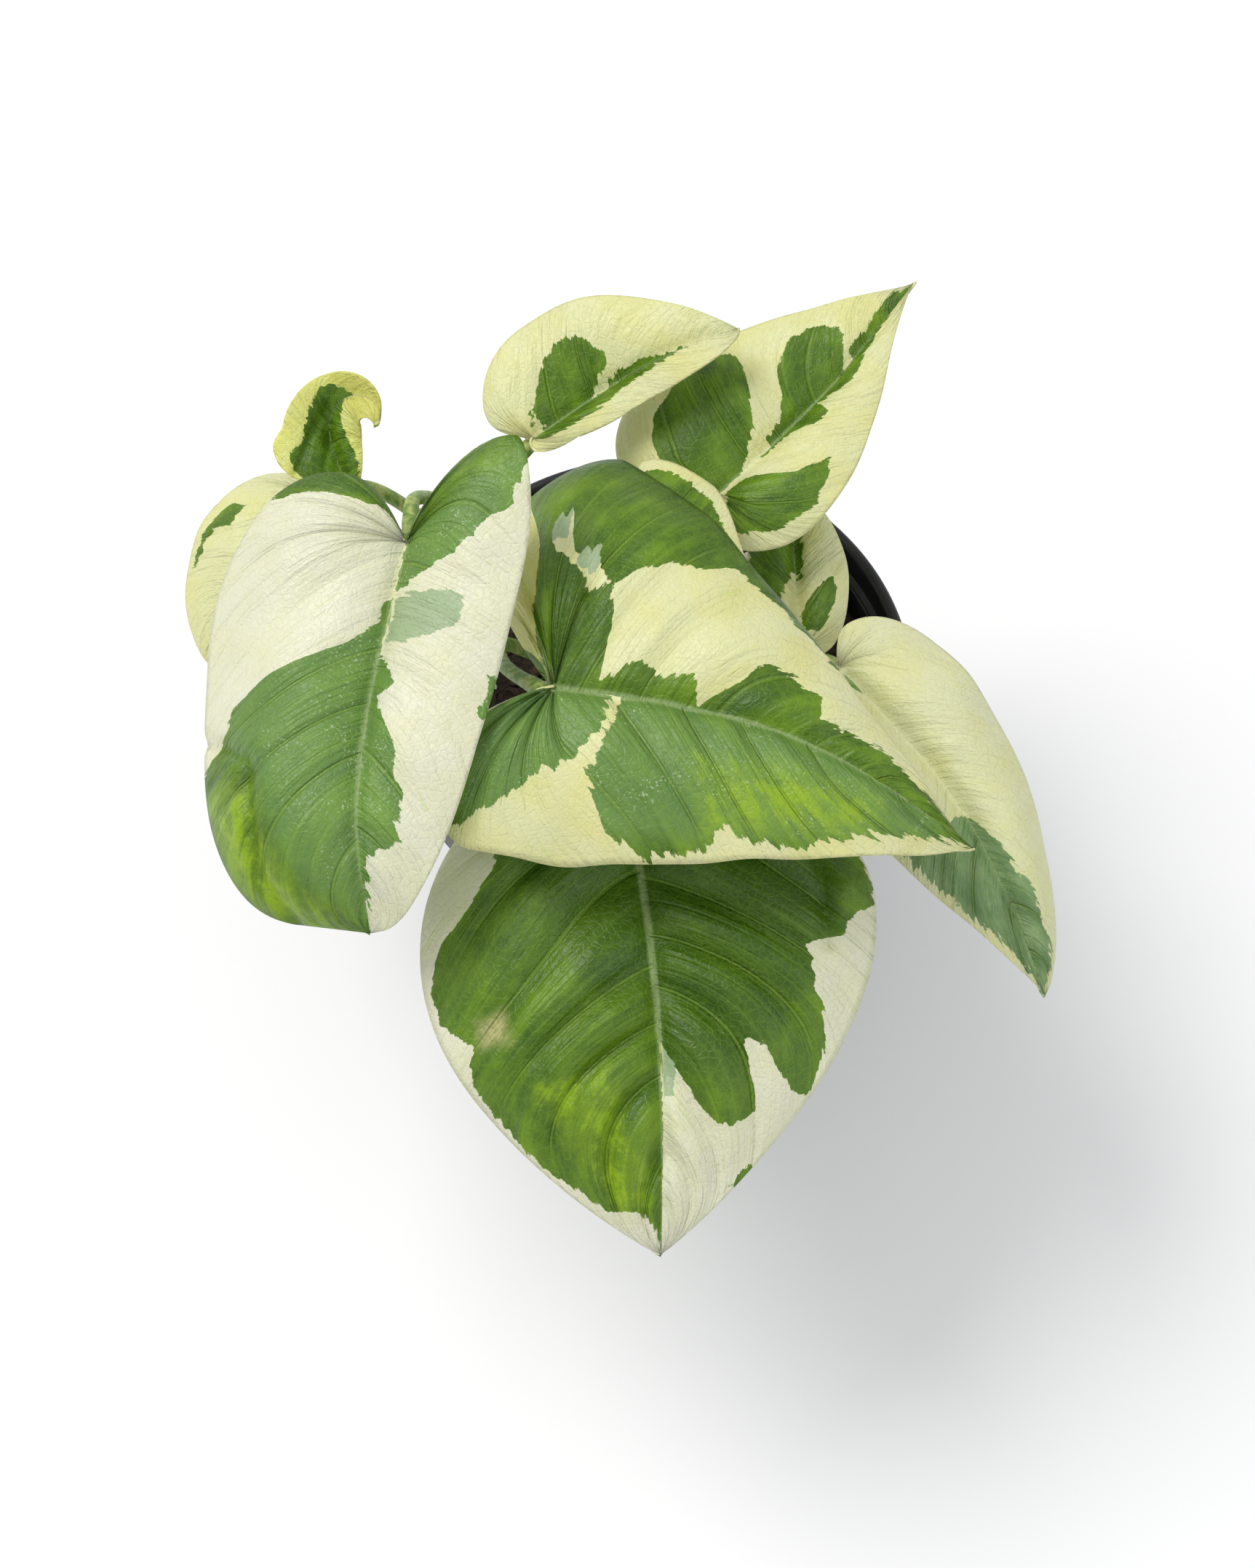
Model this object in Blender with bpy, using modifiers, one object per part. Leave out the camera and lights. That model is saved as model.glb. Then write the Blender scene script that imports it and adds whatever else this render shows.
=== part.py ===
"""Variegated pothos in a round nursery pot.

Frame: metres, +Z up, origin at the centre of the pot's underside.  The plant leans
towards -Y, and its longest leaf hangs over the rim on that side.

Lengths inside the leaf and petiole tables are millimetres and are turned into metres
by MM.  A leaf is described on its own plane: "across" runs to the right of the
midrib and "along" runs from the petiole joint to the tip, seen from above.
"""
import math

import bmesh
import bpy
from mathutils import Matrix, Vector

MM = 0.001

# Driving dimensions, in millimetres
POT_HEIGHT = 90.0
RIM_RADIUS = 51.0
RIM_BAND = 8.5
LIP_RADIUS = 1.3
BASE_RADIUS = 36.0
WALL = 1.4
FLOOR = 1.6
DRAIN_HOLES = 8
DRAIN_RADIUS = 2.0
DRAIN_RING = 25.0
FOOT_CHAMFER = 1.0
FLOOR_CORNER = 0.8
SOIL_TOP = 77.0
SOIL_CROWN = 2.0
SOIL_BEVEL = 1.5
GAP = 0.3
STEM_RADIUS = 2.5
PETIOLE_RADIUS = 1.3
PETIOLE_SETBACK = 1.2
LEAF_THICKNESS = 0.8
SINUS_OPEN = 0.45

# Mesh resolution
POT_STEPS = 64
SOIL_STEPS = 48
LEAF_RAYS = 14
LEAF_RINGS = 4
SPLINE_STEPS = 12
OUTLINE_STEPS = 16

LEAF_COLOUR = (0.24, 0.42, 0.10, 1.0)
PETIOLE_COLOUR = (0.42, 0.52, 0.20, 1.0)
STEM_COLOUR = (0.30, 0.42, 0.14, 1.0)
SOIL_COLOUR = (0.045, 0.030, 0.022, 1.0)
POT_COLOUR = (0.012, 0.012, 0.013, 1.0)

# The vines: points up the middle of each stem, starting in the soil.
STEMS = {
    "stem_left": [(-13, 3, 56), (-15, 4, 78), (-21, 8, 94), (-31, 13, 107), (-43, 16, 118)],
    "stem_back": [(3, 9, 56), (2, 11, 78), (0, 13, 95), (3, 15, 110)],
    "stem_front": [(7, -13, 56), (8, -15, 78), (7, -17, 93), (9, -19, 105)],
}

# The leaves.  joint is where the petiole meets the blade; heading, pitch and roll turn
# the leaf's plane; length runs from the joint to the tip, and sweep is how far the
# midrib bows sideways.  split is where along the margin the basal lobe ends, since the
# veins of the lobe all leave the joint.
# left and right shape the two halves of the blade: its greatest width, how far along
# that is, where the basal lobe is deepest across and how far it reaches behind the
# joint, then the taper (under 1 is full, over 1 is drawn out) and the waist of the flank.
# spine, edge and bulge are heights off the plane at even steps: along the midrib,
# along the margin, and halfway between.
LEAVES = {
    "leaf_front": {
        "joint": (-4, -46, 124), "heading": -86, "pitch": -18, "roll": 0, "split": 0.30,
        "length": 74, "sweep": -2,
        "left": (41, 17, 18, 5, 0.9, 0), "right": (38, 23, 15, 7, 0.85, 0),
        "spine": [0, 3, 4.5, 4, 2, 0],
        "left_edge": [0, -1, -1, -3, -3, -3, -2, 0], "left_bulge": [0, 3, 5, 5, 4, 3, 1, 0],
        "right_edge": [0, -1, -2, -4, -4, -3, -2, 0], "right_bulge": [0, 3, 5, 5, 5, 4, 2, 0],
        "petiole": [("stem_front", 0.72), (4, -22, 108), (0, -35, 119)],
    },
    "leaf_centre": {
        "joint": (-17, -32, 147), "heading": -19, "pitch": -9, "roll": 5, "split": 0.46,
        "length": 75, "sweep": -5,
        "left": (51, -4, 32, 19, 1.2, 0.2), "right": (28, -4, 15, 13, 0.9, 0.08),
        "spine": [0, 2, 4, 5, 3, 0],
        "left_edge": [0, -6, -11, -6, 1, 1, -2, -2, 0],
        "left_bulge": [0, 5, 9, 8, 6, 5, 3, 1, 0],
        "right_edge": [0, -5, -11, -10, -6, -4, -2, 0], "right_bulge": [0, 2, 4, 5, 5, 3, 1, 0],
        "petiole": [("stem_left", 0.45), (-27, -8, 118), (-26, -22, 136)],
    },
    "leaf_left": {
        "joint": (-42, -8, 154), "heading": -95, "pitch": -20, "roll": -6, "split": 0.36,
        "length": 66, "sweep": 3,
        "left": (22, -2, 18, 18, 0.5, 0.08), "right": (34, 22, 12, 11, 0.22, 0),
        "spine": [0, 1, 4, 7, 7, 0],
        "left_edge": [0, 4, 6, 5, 3, 0, -2, 0], "left_bulge": [0, 2, 3, 3, 3, 2, 1, 0],
        "right_edge": [0, 2, 0, -4, -7, -9, -8, 0], "right_bulge": [0, 3, 5, 6, 8, 8, 5, 0],
        "petiole": [("stem_left", 0.62), (-36, 13, 128), (-41.5, 5, 147)],
    },
    "leaf_left_under": {
        "joint": (-61, 16, 128), "heading": -127, "pitch": -21, "roll": -4, "split": 0.30,
        "length": 36, "sweep": 1,
        "left": (11, 16, 3, 0, 0.6, 0), "right": (18, 13, 5, 2, 0.6, 0),
        "spine": [0, 2, 2, 0],
        "left_edge": [0, -1, -1, 0], "left_bulge": [0, 1, 1, 0],
        "right_edge": [0, -1, -2, 0], "right_bulge": [0, 2, 2, 0],
        "petiole": [("stem_left", 0.82), (-49, 21, 122), (-56, 20, 127)],
    },
    "leaf_young": {
        "joint": (-55, 15, 136), "heading": 92, "pitch": 30, "roll": 0, "split": 0.20,
        "length": 20, "sweep": -3, "curl": 3, "curl_from": 10,
        "left": (13, 7, 5, 0, 1.5, 0.08), "right": (3, 6, 2, 0, 0.7, 0),
        "spine": [0, -1, 0, 3, 6, 7],
        "left_edge": [0, 2, 3, 2, 0], "left_bulge": [0, 1, 1, 0, 0],
        "right_edge": [0, 2, 2, 0, 0], "right_bulge": [0, 1, 1, 0, 0],
        "petiole": [("stem_left", 0.97), (-51, 12, 126), (-55, 10.5, 131)],
    },
    "leaf_back": {
        "joint": (-22, 26, 134), "heading": 22, "pitch": 18, "roll": -8, "split": 0.26,
        "length": 42, "sweep": -3,
        "left": (20, 13, 7, 6, 0.85, 0), "right": (5, 8, 2, 1, 0.4, 0),
        "spine": [0, -2, -2, -1, 0],
        "left_edge": [0, 2, 4, 4, 2, 0], "left_bulge": [0, 2, 2, 2, 1, 0],
        "right_edge": [0, 2, 3, 3, 1, 0], "right_bulge": [0, 1, 1, 1, 0, 0],
        "petiole": [("stem_back", 0.66), (-13, 15, 111), (-25, 20, 125), (-26, 22.5, 130)],
    },
    "leaf_back_right": {
        "joint": (12, 18, 128), "heading": 46, "pitch": 14, "roll": 0, "split": 0.34,
        "length": 54, "sweep": 1,
        "left": (25, 6, 14, 9, 1.1, 0.05), "right": (18, 8, 8, 6, 1.35, 0),
        "spine": [0, -1, -2, -1, 0],
        "left_edge": [0, 0, 2, 3, 2, 0], "left_bulge": [0, 3, 4, 3, 1, 0],
        "right_edge": [0, 0, 1, 2, 1, 0], "right_bulge": [0, 3, 3, 2, 1, 0],
        "petiole": [("stem_back", 0.97), (6, 13.5, 118), (9, 15, 124)],
    },
    "leaf_centre_under": {
        "joint": (0, 5, 136), "heading": -42, "pitch": -4, "roll": 0, "split": 0.30,
        "length": 28, "sweep": 0,
        "left": (14, 2, 9, 11, 1.5, 0.15), "right": (12, 9, 3, 1, 0.8, 0),
        "spine": [0, 1, 0],
        "left_edge": [0, 0, 0, 0], "left_bulge": [0, 1, 1, 0],
        "right_edge": [0, 0, 0, 0], "right_bulge": [0, 1, 1, 0],
        "petiole": [("stem_back", 0.84), (-6, 10, 118), (-4, 8, 129)],
    },
    "leaf_right_under": {
        "joint": (27, -6, 112), "heading": 92, "pitch": 11, "roll": 0, "split": 0.30,
        "length": 32, "sweep": 0,
        "left": (9, 16, 2, 0, 0.65, 0), "right": (10, 14, 3, 1, 0.6, 0),
        "spine": [0, 1, 1, 0],
        "left_edge": [0, 0, 0, 0], "left_bulge": [0, 2, 2, 0],
        "right_edge": [0, -1, -1, 0], "right_bulge": [0, 2, 2, 0],
        "petiole": [("stem_front", 0.84), (18, -20, 105), (25, -14, 109)],
    },
    "leaf_right": {
        "joint": (33, -15, 122), "heading": -57, "pitch": -16, "roll": -6, "split": 0.28,
        "length": 69, "sweep": -4,
        "left": (20, 16, 6, 6, 0.7, 0), "right": (12, 21, 3, 0, 1.3, 0),
        "spine": [0, 3, 5, 5, 3, 0],
        "left_edge": [0, -1, -3, -4, -3, 0], "left_bulge": [0, 3, 5, 5, 3, 0],
        "right_edge": [0, -1, -1, -1, -1, 0], "right_bulge": [0, 2, 2, 2, 1, 0],
        "petiole": [("stem_front", 0.97), (17, -14, 113), (27, -12, 118)],
    },
}


def clear_scene():
    for item in list(bpy.data.objects):
        bpy.data.objects.remove(item, do_unlink=True)


def make_material(name, colour, roughness):
    material = bpy.data.materials.new(name)
    material.use_nodes = True
    shader = material.node_tree.nodes["Principled BSDF"]
    shader.inputs["Base Color"].default_value = colour
    shader.inputs["Roughness"].default_value = roughness
    shader.inputs["Metallic"].default_value = 0.0
    return material


def add_object(name, data, material, collection):
    item = bpy.data.objects.new(name, data)
    item.data.materials.append(material)
    collection.objects.link(item)
    return item


def turned_object(name, profile, steps, material, collection):
    """Turn a profile of (radius, height) points about Z into a closed solid."""
    mesh = bpy.data.meshes.new(name)
    points = [(radius * MM, 0.0, height * MM) for radius, height in profile]
    edges = [(i, i + 1) for i in range(len(points) - 1)]
    mesh.from_pydata(points, edges, [])
    item = add_object(name, mesh, material, collection)
    screw = item.modifiers.new("turn", "SCREW")
    screw.steps = steps
    screw.render_steps = steps
    screw.use_merge_vertices = True
    screw.merge_threshold = 0.00001
    screw.use_smooth_shade = True
    return item


def curve_points(points, steps):
    """Points on a smooth curve through the given ones (Catmull-Rom)."""
    chain = [Vector(point) for point in points]
    chain = [2 * chain[0] - chain[1]] + chain + [2 * chain[-1] - chain[-2]]
    result = []
    for i in range(1, len(chain) - 2):
        a, b, c, d = chain[i - 1:i + 3]
        for k in range(steps):
            t = k / steps
            result.append(0.5 * (2 * b + (c - a) * t + (2 * a - 5 * b + 4 * c - d) * t ** 2
                                 + (3 * b - a - 3 * c + d) * t ** 3))
    result.append(chain[-2])
    return result


def point_at(points, share):
    """The point a given share of the way along a polyline, by length."""
    lengths = [(q - p).length for p, q in zip(points, points[1:])]
    left = share * sum(lengths)
    for start, end, length in zip(points, points[1:], lengths):
        if left <= length:
            return start.lerp(end, left / length)
        left -= length
    return points[-1]


def evenly_spaced(points, count):
    return [point_at(points, i / (count - 1)) for i in range(count)]


def height_at(levels, share):
    """Smooth height between levels given at even steps."""
    position = min(max(share, 0.0), 1.0) * (len(levels) - 1)
    index = min(int(position), len(levels) - 2)
    t = position - index
    t = t * t * (3 - 2 * t)
    return levels[index] * (1 - t) + levels[index + 1] * t


def leaf_matrix(leaf):
    """Turns leaf coordinates (across, along, up) into the plant's frame."""
    heading = math.radians(leaf["heading"])
    pitch = math.radians(leaf["pitch"])
    along = Vector((math.cos(heading) * math.cos(pitch),
                    math.sin(heading) * math.cos(pitch), math.sin(pitch)))
    across = along.cross(Vector((0, 0, 1))).normalized()
    across = Matrix.Rotation(-math.radians(leaf["roll"]), 3, along) @ across
    up = across.cross(along)
    turn = Matrix((across, along, up)).transposed().to_4x4()
    return Matrix.Translation(Vector(leaf["joint"])) @ turn


def tube(name, points, radius, material, collection):
    """A round stem along the points, with closed ends, in millimetres."""
    curve = bpy.data.curves.new(name, "CURVE")
    curve.dimensions = "3D"
    curve.bevel_depth = radius * MM
    curve.bevel_resolution = 2
    curve.use_fill_caps = True
    spline = curve.splines.new("POLY")
    spline.points.add(len(points) - 1)
    for slot, point in zip(spline.points, points):
        slot.co = (point[0] * MM, point[1] * MM, point[2] * MM, 1.0)
    return add_object(name, curve, material, collection)


def make_cutter(name, radius, low, high, place, collection):
    """A vertical cylinder that cuts a hole, in millimetres."""
    mesh = bpy.data.meshes.new(name)
    shape = bmesh.new()
    bmesh.ops.create_cone(shape, cap_ends=True, segments=24, radius1=radius * MM,
                          radius2=radius * MM, depth=(high - low) * MM)
    shape.to_mesh(mesh)
    shape.free()
    cutter = bpy.data.objects.new(name, mesh)
    cutter.location = (place[0] * MM, place[1] * MM, (low + high) / 2 * MM)
    cutter.hide_render = True
    cutter.display_type = "WIRE"
    collection.objects.link(cutter)
    return cutter


def cut(item, cutter):
    boolean = item.modifiers.new(cutter.name, "BOOLEAN")
    boolean.operation = "DIFFERENCE"
    boolean.solver = "EXACT"
    boolean.object = cutter


def wall_radius(height):
    """Radius of the pot's inner wall below the rim band."""
    top = POT_HEIGHT - RIM_BAND
    inner_base = BASE_RADIUS - WALL
    inner_top = RIM_RADIUS - 2 * LIP_RADIUS - WALL
    return inner_base + (inner_top - inner_base) * (height - FLOOR) / (top - FLOOR)


def make_pot(parts, cutters):
    band_low = POT_HEIGHT - RIM_BAND
    lip_centre = (RIM_RADIUS - LIP_RADIUS, POT_HEIGHT - LIP_RADIUS)
    corner = wall_radius(FLOOR)
    profile = [(0, FLOOR), (corner - FLOOR_CORNER, FLOOR), (wall_radius(FLOOR + 1), FLOOR + 1)]
    profile += [(wall_radius(band_low), band_low), (lip_centre[0] - LIP_RADIUS, band_low + 1)]
    for angle in range(180, -1, -30):
        turn = math.radians(angle)
        profile.append((lip_centre[0] + LIP_RADIUS * math.cos(turn),
                        lip_centre[1] + LIP_RADIUS * math.sin(turn)))
    profile += [(RIM_RADIUS, band_low), (wall_radius(band_low) + WALL, band_low - 0.5)]
    profile += [(BASE_RADIUS, FOOT_CHAMFER), (BASE_RADIUS - FOOT_CHAMFER, 0), (0, 0)]
    pot = turned_object("pot", profile, POT_STEPS, make_material("pot_plastic", POT_COLOUR, 0.45), parts)
    for i in range(DRAIN_HOLES):
        angle = 2 * math.pi * (i + 0.5) / DRAIN_HOLES
        place = (DRAIN_RING * math.cos(angle), DRAIN_RING * math.sin(angle))
        cut(pot, make_cutter(f"drain_cutter_{i + 1}", DRAIN_RADIUS, -2, FLOOR + 2, place, cutters))


def make_soil(parts, cutters, stems):
    low = FLOOR + GAP
    foot, top = [(wall_radius(height) - 1.4 * GAP, height) for height in (low + SOIL_BEVEL, SOIL_TOP)]
    profile = [(top[0] * math.sin(turn), SOIL_TOP + SOIL_CROWN * math.cos(turn))
               for turn in (0, math.pi / 8, math.pi / 4, 3 * math.pi / 8)]
    profile += [top, foot, (foot[0] - SOIL_BEVEL, low), (0, low)]
    soil = turned_object("soil", profile, SOIL_STEPS, make_material("potting_mix", SOIL_COLOUR, 0.95), parts)
    for name, points in stems.items():
        route = [points[0] - Vector((0, 0, 2 * GAP))] + points
        socket = tube(f"{name}_socket", route, STEM_RADIUS + 2 * GAP, soil.active_material, cutters)
        cut(soil, solid_mesh(socket, cutters))


def solid_mesh(curve_object, collection):
    """Make a curve object into a closed mesh, so that it can cut."""
    bpy.context.view_layer.update()
    evaluated = curve_object.evaluated_get(bpy.context.evaluated_depsgraph_get())
    mesh = bpy.data.meshes.new_from_object(evaluated)
    shape = bmesh.new()
    shape.from_mesh(mesh)
    bmesh.ops.remove_doubles(shape, verts=shape.verts, dist=0.00001)
    shape.to_mesh(mesh)
    shape.free()
    cutter = bpy.data.objects.new(f"{curve_object.name}_mesh", mesh)
    cutter.matrix_world = curve_object.matrix_world
    cutter.hide_render = True
    cutter.display_type = "WIRE"
    collection.objects.link(cutter)
    bpy.data.objects.remove(curve_object, do_unlink=True)
    return cutter


def curled(leaf, across, along):
    """A place on the blade's plane, turned round a circle past where the tip curls over."""
    if "curl" not in leaf or along <= leaf["curl_from"]:
        return Vector((across, along, 0))
    radius = leaf["curl"]
    turn = (along - leaf["curl_from"]) / radius
    return Vector((radius - (radius - across) * math.cos(turn),
                   leaf["curl_from"] + (radius - across) * math.sin(turn), 0))


def midrib_line(leaf):
    """The midrib, bowed sideways between the joint and the tip."""
    shares = [k / OUTLINE_STEPS for k in range(OUTLINE_STEPS + 1)]
    return [curled(leaf, leaf["sweep"] * math.sin(math.pi * share), leaf["length"] * share)
            for share in shares]


def margin_line(leaf, side):
    """One margin: out of the sinus, round the basal lobe and up the flank to the tip."""
    width, widest, lobe_across, lobe_back, taper, waist = leaf[side]
    shares = [k / OUTLINE_STEPS for k in range(OUTLINE_STEPS)]
    points = []
    for share in shares:
        bend = 2 * share * (1 - share)
        points.append((lobe_across * (SINUS_OPEN * bend + share ** 2), -lobe_back * (bend + share ** 2)))
    for share in shares:
        turn = math.pi / 2 * share
        points.append((lobe_across + (width - lobe_across) * math.sin(turn),
                       widest - (widest + lobe_back) * math.cos(turn)))
    for share in shares + [1.0]:
        flank = width * max(0.0, math.cos(math.pi / 2 * share)) ** taper
        flank *= 1 - waist * math.sin(math.pi * share)
        points.append((flank, widest + (leaf["length"] - widest) * share))
    sign = -1 if side == "left" else 1
    return [curled(leaf, sign * across, along) for across, along in points]


def blade_grid(leaf, side, midrib):
    """Rows of points from the midrib out to one margin, in leaf coordinates."""
    margin = evenly_spaced(margin_line(leaf, side), LEAF_RAYS + 1)
    rows = []
    for i, edge_point in enumerate(margin):
        share = i / LEAF_RAYS
        foot_share = max(0.0, (share - leaf["split"]) / (1 - leaf["split"]))
        foot = point_at(midrib, foot_share)
        spine = height_at(leaf["spine"], foot_share)
        edge = height_at(leaf[side + "_edge"], share)
        bulge = height_at(leaf[side + "_bulge"], share)
        row = []
        for j in range(LEAF_RINGS + 1):
            t = j / LEAF_RINGS
            point = foot.lerp(edge_point, t)
            point.z = spine + edge * t + bulge * 4 * t * (1 - t)
            row.append(point)
        rows.append(row)
    return rows


def make_leaf(name, leaf, material, parts):
    """One blade: a sheet lofted from the midrib to both margins, then thickened."""
    midrib = midrib_line(leaf)
    shape = bmesh.new()
    for side in ("left", "right"):
        grid = [[shape.verts.new(point * MM) for point in row]
                for row in blade_grid(leaf, side, midrib)]
        for near, far in zip(grid, grid[1:]):
            for j in range(LEAF_RINGS):
                corners = [near[j], near[j + 1], far[j + 1], far[j]]
                shape.faces.new(corners if side == "right" else corners[::-1])
    bmesh.ops.remove_doubles(shape, verts=shape.verts, dist=0.00002)
    bmesh.ops.triangulate(shape, faces=shape.faces)
    mesh = bpy.data.meshes.new(name)
    shape.to_mesh(mesh)
    shape.free()
    mesh.shade_smooth()
    blade = add_object(name, mesh, material, parts)
    placed = leaf_matrix(leaf)
    placed.translation *= MM
    blade.matrix_world = placed
    solid = blade.modifiers.new("thickness", "SOLIDIFY")
    solid.thickness = LEAF_THICKNESS * MM
    solid.offset = 0.0


def make_petiole(name, leaf, stems, material, parts):
    """The stalk from a node on the vine to just under the blade's joint."""
    (stem, share), *route = leaf["petiole"]
    node = point_at(stems[stem], share)
    stem_run = point_at(stems[stem], min(share + 0.05, 1.0)) - point_at(stems[stem], share - 0.05)
    outwards = Vector(route[0]) - node
    outwards -= outwards.project(stem_run)
    start = node + outwards.normalized() * (STEM_RADIUS + PETIOLE_RADIUS + 2 * GAP)
    placed = leaf_matrix(leaf)
    end = placed @ Vector((0, -PETIOLE_SETBACK, -PETIOLE_RADIUS - 2.5 * GAP))
    line = curve_points([start] + route + [end], SPLINE_STEPS)
    tube(name, evenly_spaced(line, 9), PETIOLE_RADIUS, material, parts)


def main():
    clear_scene()
    parts = bpy.data.collections.new("potted_pothos")
    cutters = bpy.data.collections.new("cutters")
    for collection in (parts, cutters):
        bpy.context.scene.collection.children.link(collection)

    stem_material = make_material("stem_skin", STEM_COLOUR, 0.5)
    petiole_material = make_material("petiole_skin", PETIOLE_COLOUR, 0.45)
    leaf_material = make_material("leaf_blade", LEAF_COLOUR, 0.35)

    stems = {name: evenly_spaced(curve_points(points, SPLINE_STEPS), 12)
             for name, points in STEMS.items()}
    make_pot(parts, cutters)
    make_soil(parts, cutters, stems)
    for name, points in stems.items():
        tube(name, points, STEM_RADIUS, stem_material, parts)
    for name, leaf in LEAVES.items():
        make_leaf(name, leaf, leaf_material, parts)
        make_petiole(name.replace("leaf", "petiole"), leaf, stems, petiole_material, parts)


main()
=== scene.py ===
import math
import random

import bmesh
import bpy
import numpy as np
from mathutils import Matrix, Vector, noise


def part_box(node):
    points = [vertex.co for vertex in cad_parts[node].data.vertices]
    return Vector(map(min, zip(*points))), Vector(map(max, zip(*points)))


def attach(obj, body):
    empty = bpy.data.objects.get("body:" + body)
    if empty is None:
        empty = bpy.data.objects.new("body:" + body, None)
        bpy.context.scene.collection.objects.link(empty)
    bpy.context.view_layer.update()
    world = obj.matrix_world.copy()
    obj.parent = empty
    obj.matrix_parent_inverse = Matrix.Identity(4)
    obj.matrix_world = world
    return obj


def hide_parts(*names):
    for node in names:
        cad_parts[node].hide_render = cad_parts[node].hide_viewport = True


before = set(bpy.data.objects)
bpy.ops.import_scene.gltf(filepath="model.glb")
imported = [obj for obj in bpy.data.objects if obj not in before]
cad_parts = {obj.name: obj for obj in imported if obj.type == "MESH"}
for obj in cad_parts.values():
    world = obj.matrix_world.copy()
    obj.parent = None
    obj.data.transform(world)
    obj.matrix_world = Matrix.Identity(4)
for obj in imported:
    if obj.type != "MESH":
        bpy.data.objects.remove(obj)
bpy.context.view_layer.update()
MM = 0.001


# The studio: a flat pale floor, one broad lamp high behind on the left, a weaker one in
# front on the right and an even sky, so the waxy leaves carry soft highlights. The camera
# looks steeply down on the plant from the side it leans to.

CAMERA_TILT = math.radians(65)
CAMERA_DISTANCE = 0.45
LAMP_TARGET = (0, -0.02, 0.12)
rim_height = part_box("pot")[1][2]


def add_object(name, data):
    made = bpy.data.objects.new(name, data)
    bpy.context.scene.collection.objects.link(made)
    return made


camera_data = bpy.data.cameras.new("camera")
camera_data.lens = 53
camera_data.sensor_width = 36
camera = add_object("camera", camera_data)
aim = Vector((-0.0048, -0.0190, rim_height - 0.0088))
camera.location = aim + CAMERA_DISTANCE * Vector((0, -math.cos(CAMERA_TILT), math.sin(CAMERA_TILT)))
camera.rotation_euler = (math.radians(90) - CAMERA_TILT, 0, 0)
bpy.context.scene.camera = camera


def add_lamp(name, place, size, power, colour):
    data = bpy.data.lights.new(name, "AREA")
    data.shape = "DISK"
    data.size = size
    data.energy = power
    data.color = colour
    lamp = add_object(name, data)
    lamp.location = place
    lamp.rotation_euler = (Vector(LAMP_TARGET) - Vector(place)).to_track_quat("-Z", "Y").to_euler()


add_lamp("key_lamp", (-0.50, 0.22, 1.05), 0.60, 7.4, (1.0, 0.98, 0.95))
add_lamp("fill_lamp", (0.75, -0.55, 0.85), 0.80, 2.2, (0.95, 0.98, 1.0))

world = bpy.data.worlds.new("even_sky")
world.use_nodes = True
sky = world.node_tree.nodes["Background"]
sky.inputs["Color"].default_value = (0.97, 0.98, 1.0, 1.0)
sky.inputs["Strength"].default_value = 0.64
bpy.context.scene.world = world
bpy.context.scene.view_settings.view_transform = "Standard"


def new_material(name):
    """A new material, its node tree and the socket that gives a place on the piece."""
    material = bpy.data.materials.new(name)
    material.use_nodes = True
    tree = material.node_tree
    return material, tree, tree.nodes.new("ShaderNodeTexCoord").outputs["Object"]


def add_node(tree, kind, settings=None, **inputs):
    """A shader node; an input takes a plain value or another node's output socket."""
    made = tree.nodes.new(kind)
    for key, value in (settings or {}).items():
        setattr(made, key, value)
    for key, value in inputs.items():
        socket = made.inputs[int(key[1:])] if key[0] == "i" and key[1:].isdigit() else made.inputs[key]
        if isinstance(value, bpy.types.NodeSocket):
            tree.links.new(value, socket)
        else:
            socket.default_value = value
    return made


def maths(tree, operation, *values):
    inputs = {f"i{i}": value for i, value in enumerate(values)}
    return add_node(tree, "ShaderNodeMath", {"operation": operation}, **inputs).outputs[0]


def weighed_sum(tree, *terms):
    """The sum of values, each times its weight."""
    total = maths(tree, "MULTIPLY", *terms[0])
    for value, weight in terms[1:]:
        total = maths(tree, "ADD", total, maths(tree, "MULTIPLY", value, weight))
    return total


def ramp(tree, value, low, high, start=0.0, end=1.0):
    """Runs smoothly from start to end as value goes from low to high."""
    made = add_node(tree, "ShaderNodeMapRange", {"interpolation_type": "SMOOTHSTEP"}, i0=value)
    for index, number in enumerate((low, high, start, end), 1):
        made.inputs[index].default_value = number
    return made.outputs[0]


def mix(tree, share, first, second):
    """A colour between two colours, each a plain value or a socket."""
    made = tree.nodes.new("ShaderNodeMix")
    made.data_type = "RGBA"
    for index, value in ((0, share), (6, first), (7, second)):
        if isinstance(value, bpy.types.NodeSocket):
            tree.links.new(value, made.inputs[index])
        elif index:
            made.inputs[index].default_value = (*value, 1.0)
        else:
            made.inputs[index].default_value = value
    return made.outputs[2]


def noise_at(tree, vector, scale, detail=3.0, roughness=0.5):
    made = add_node(tree, "ShaderNodeTexNoise", Vector=vector, Scale=scale, Detail=detail,
                    Roughness=roughness)
    return made.outputs[0]


def finish_surface(tree, colour, roughness, height=None, depth=0.0001):
    """Wire colour, roughness and relief into the material's shader."""
    shader = tree.nodes["Principled BSDF"]
    tree.links.new(colour, shader.inputs["Base Color"])
    tree.links.new(roughness, shader.inputs["Roughness"])
    if height is not None:
        bump = add_node(tree, "ShaderNodeBump", Height=height, Distance=depth, Strength=1.0)
        tree.links.new(bump.outputs[0], shader.inputs["Normal"])
    return shader


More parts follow.
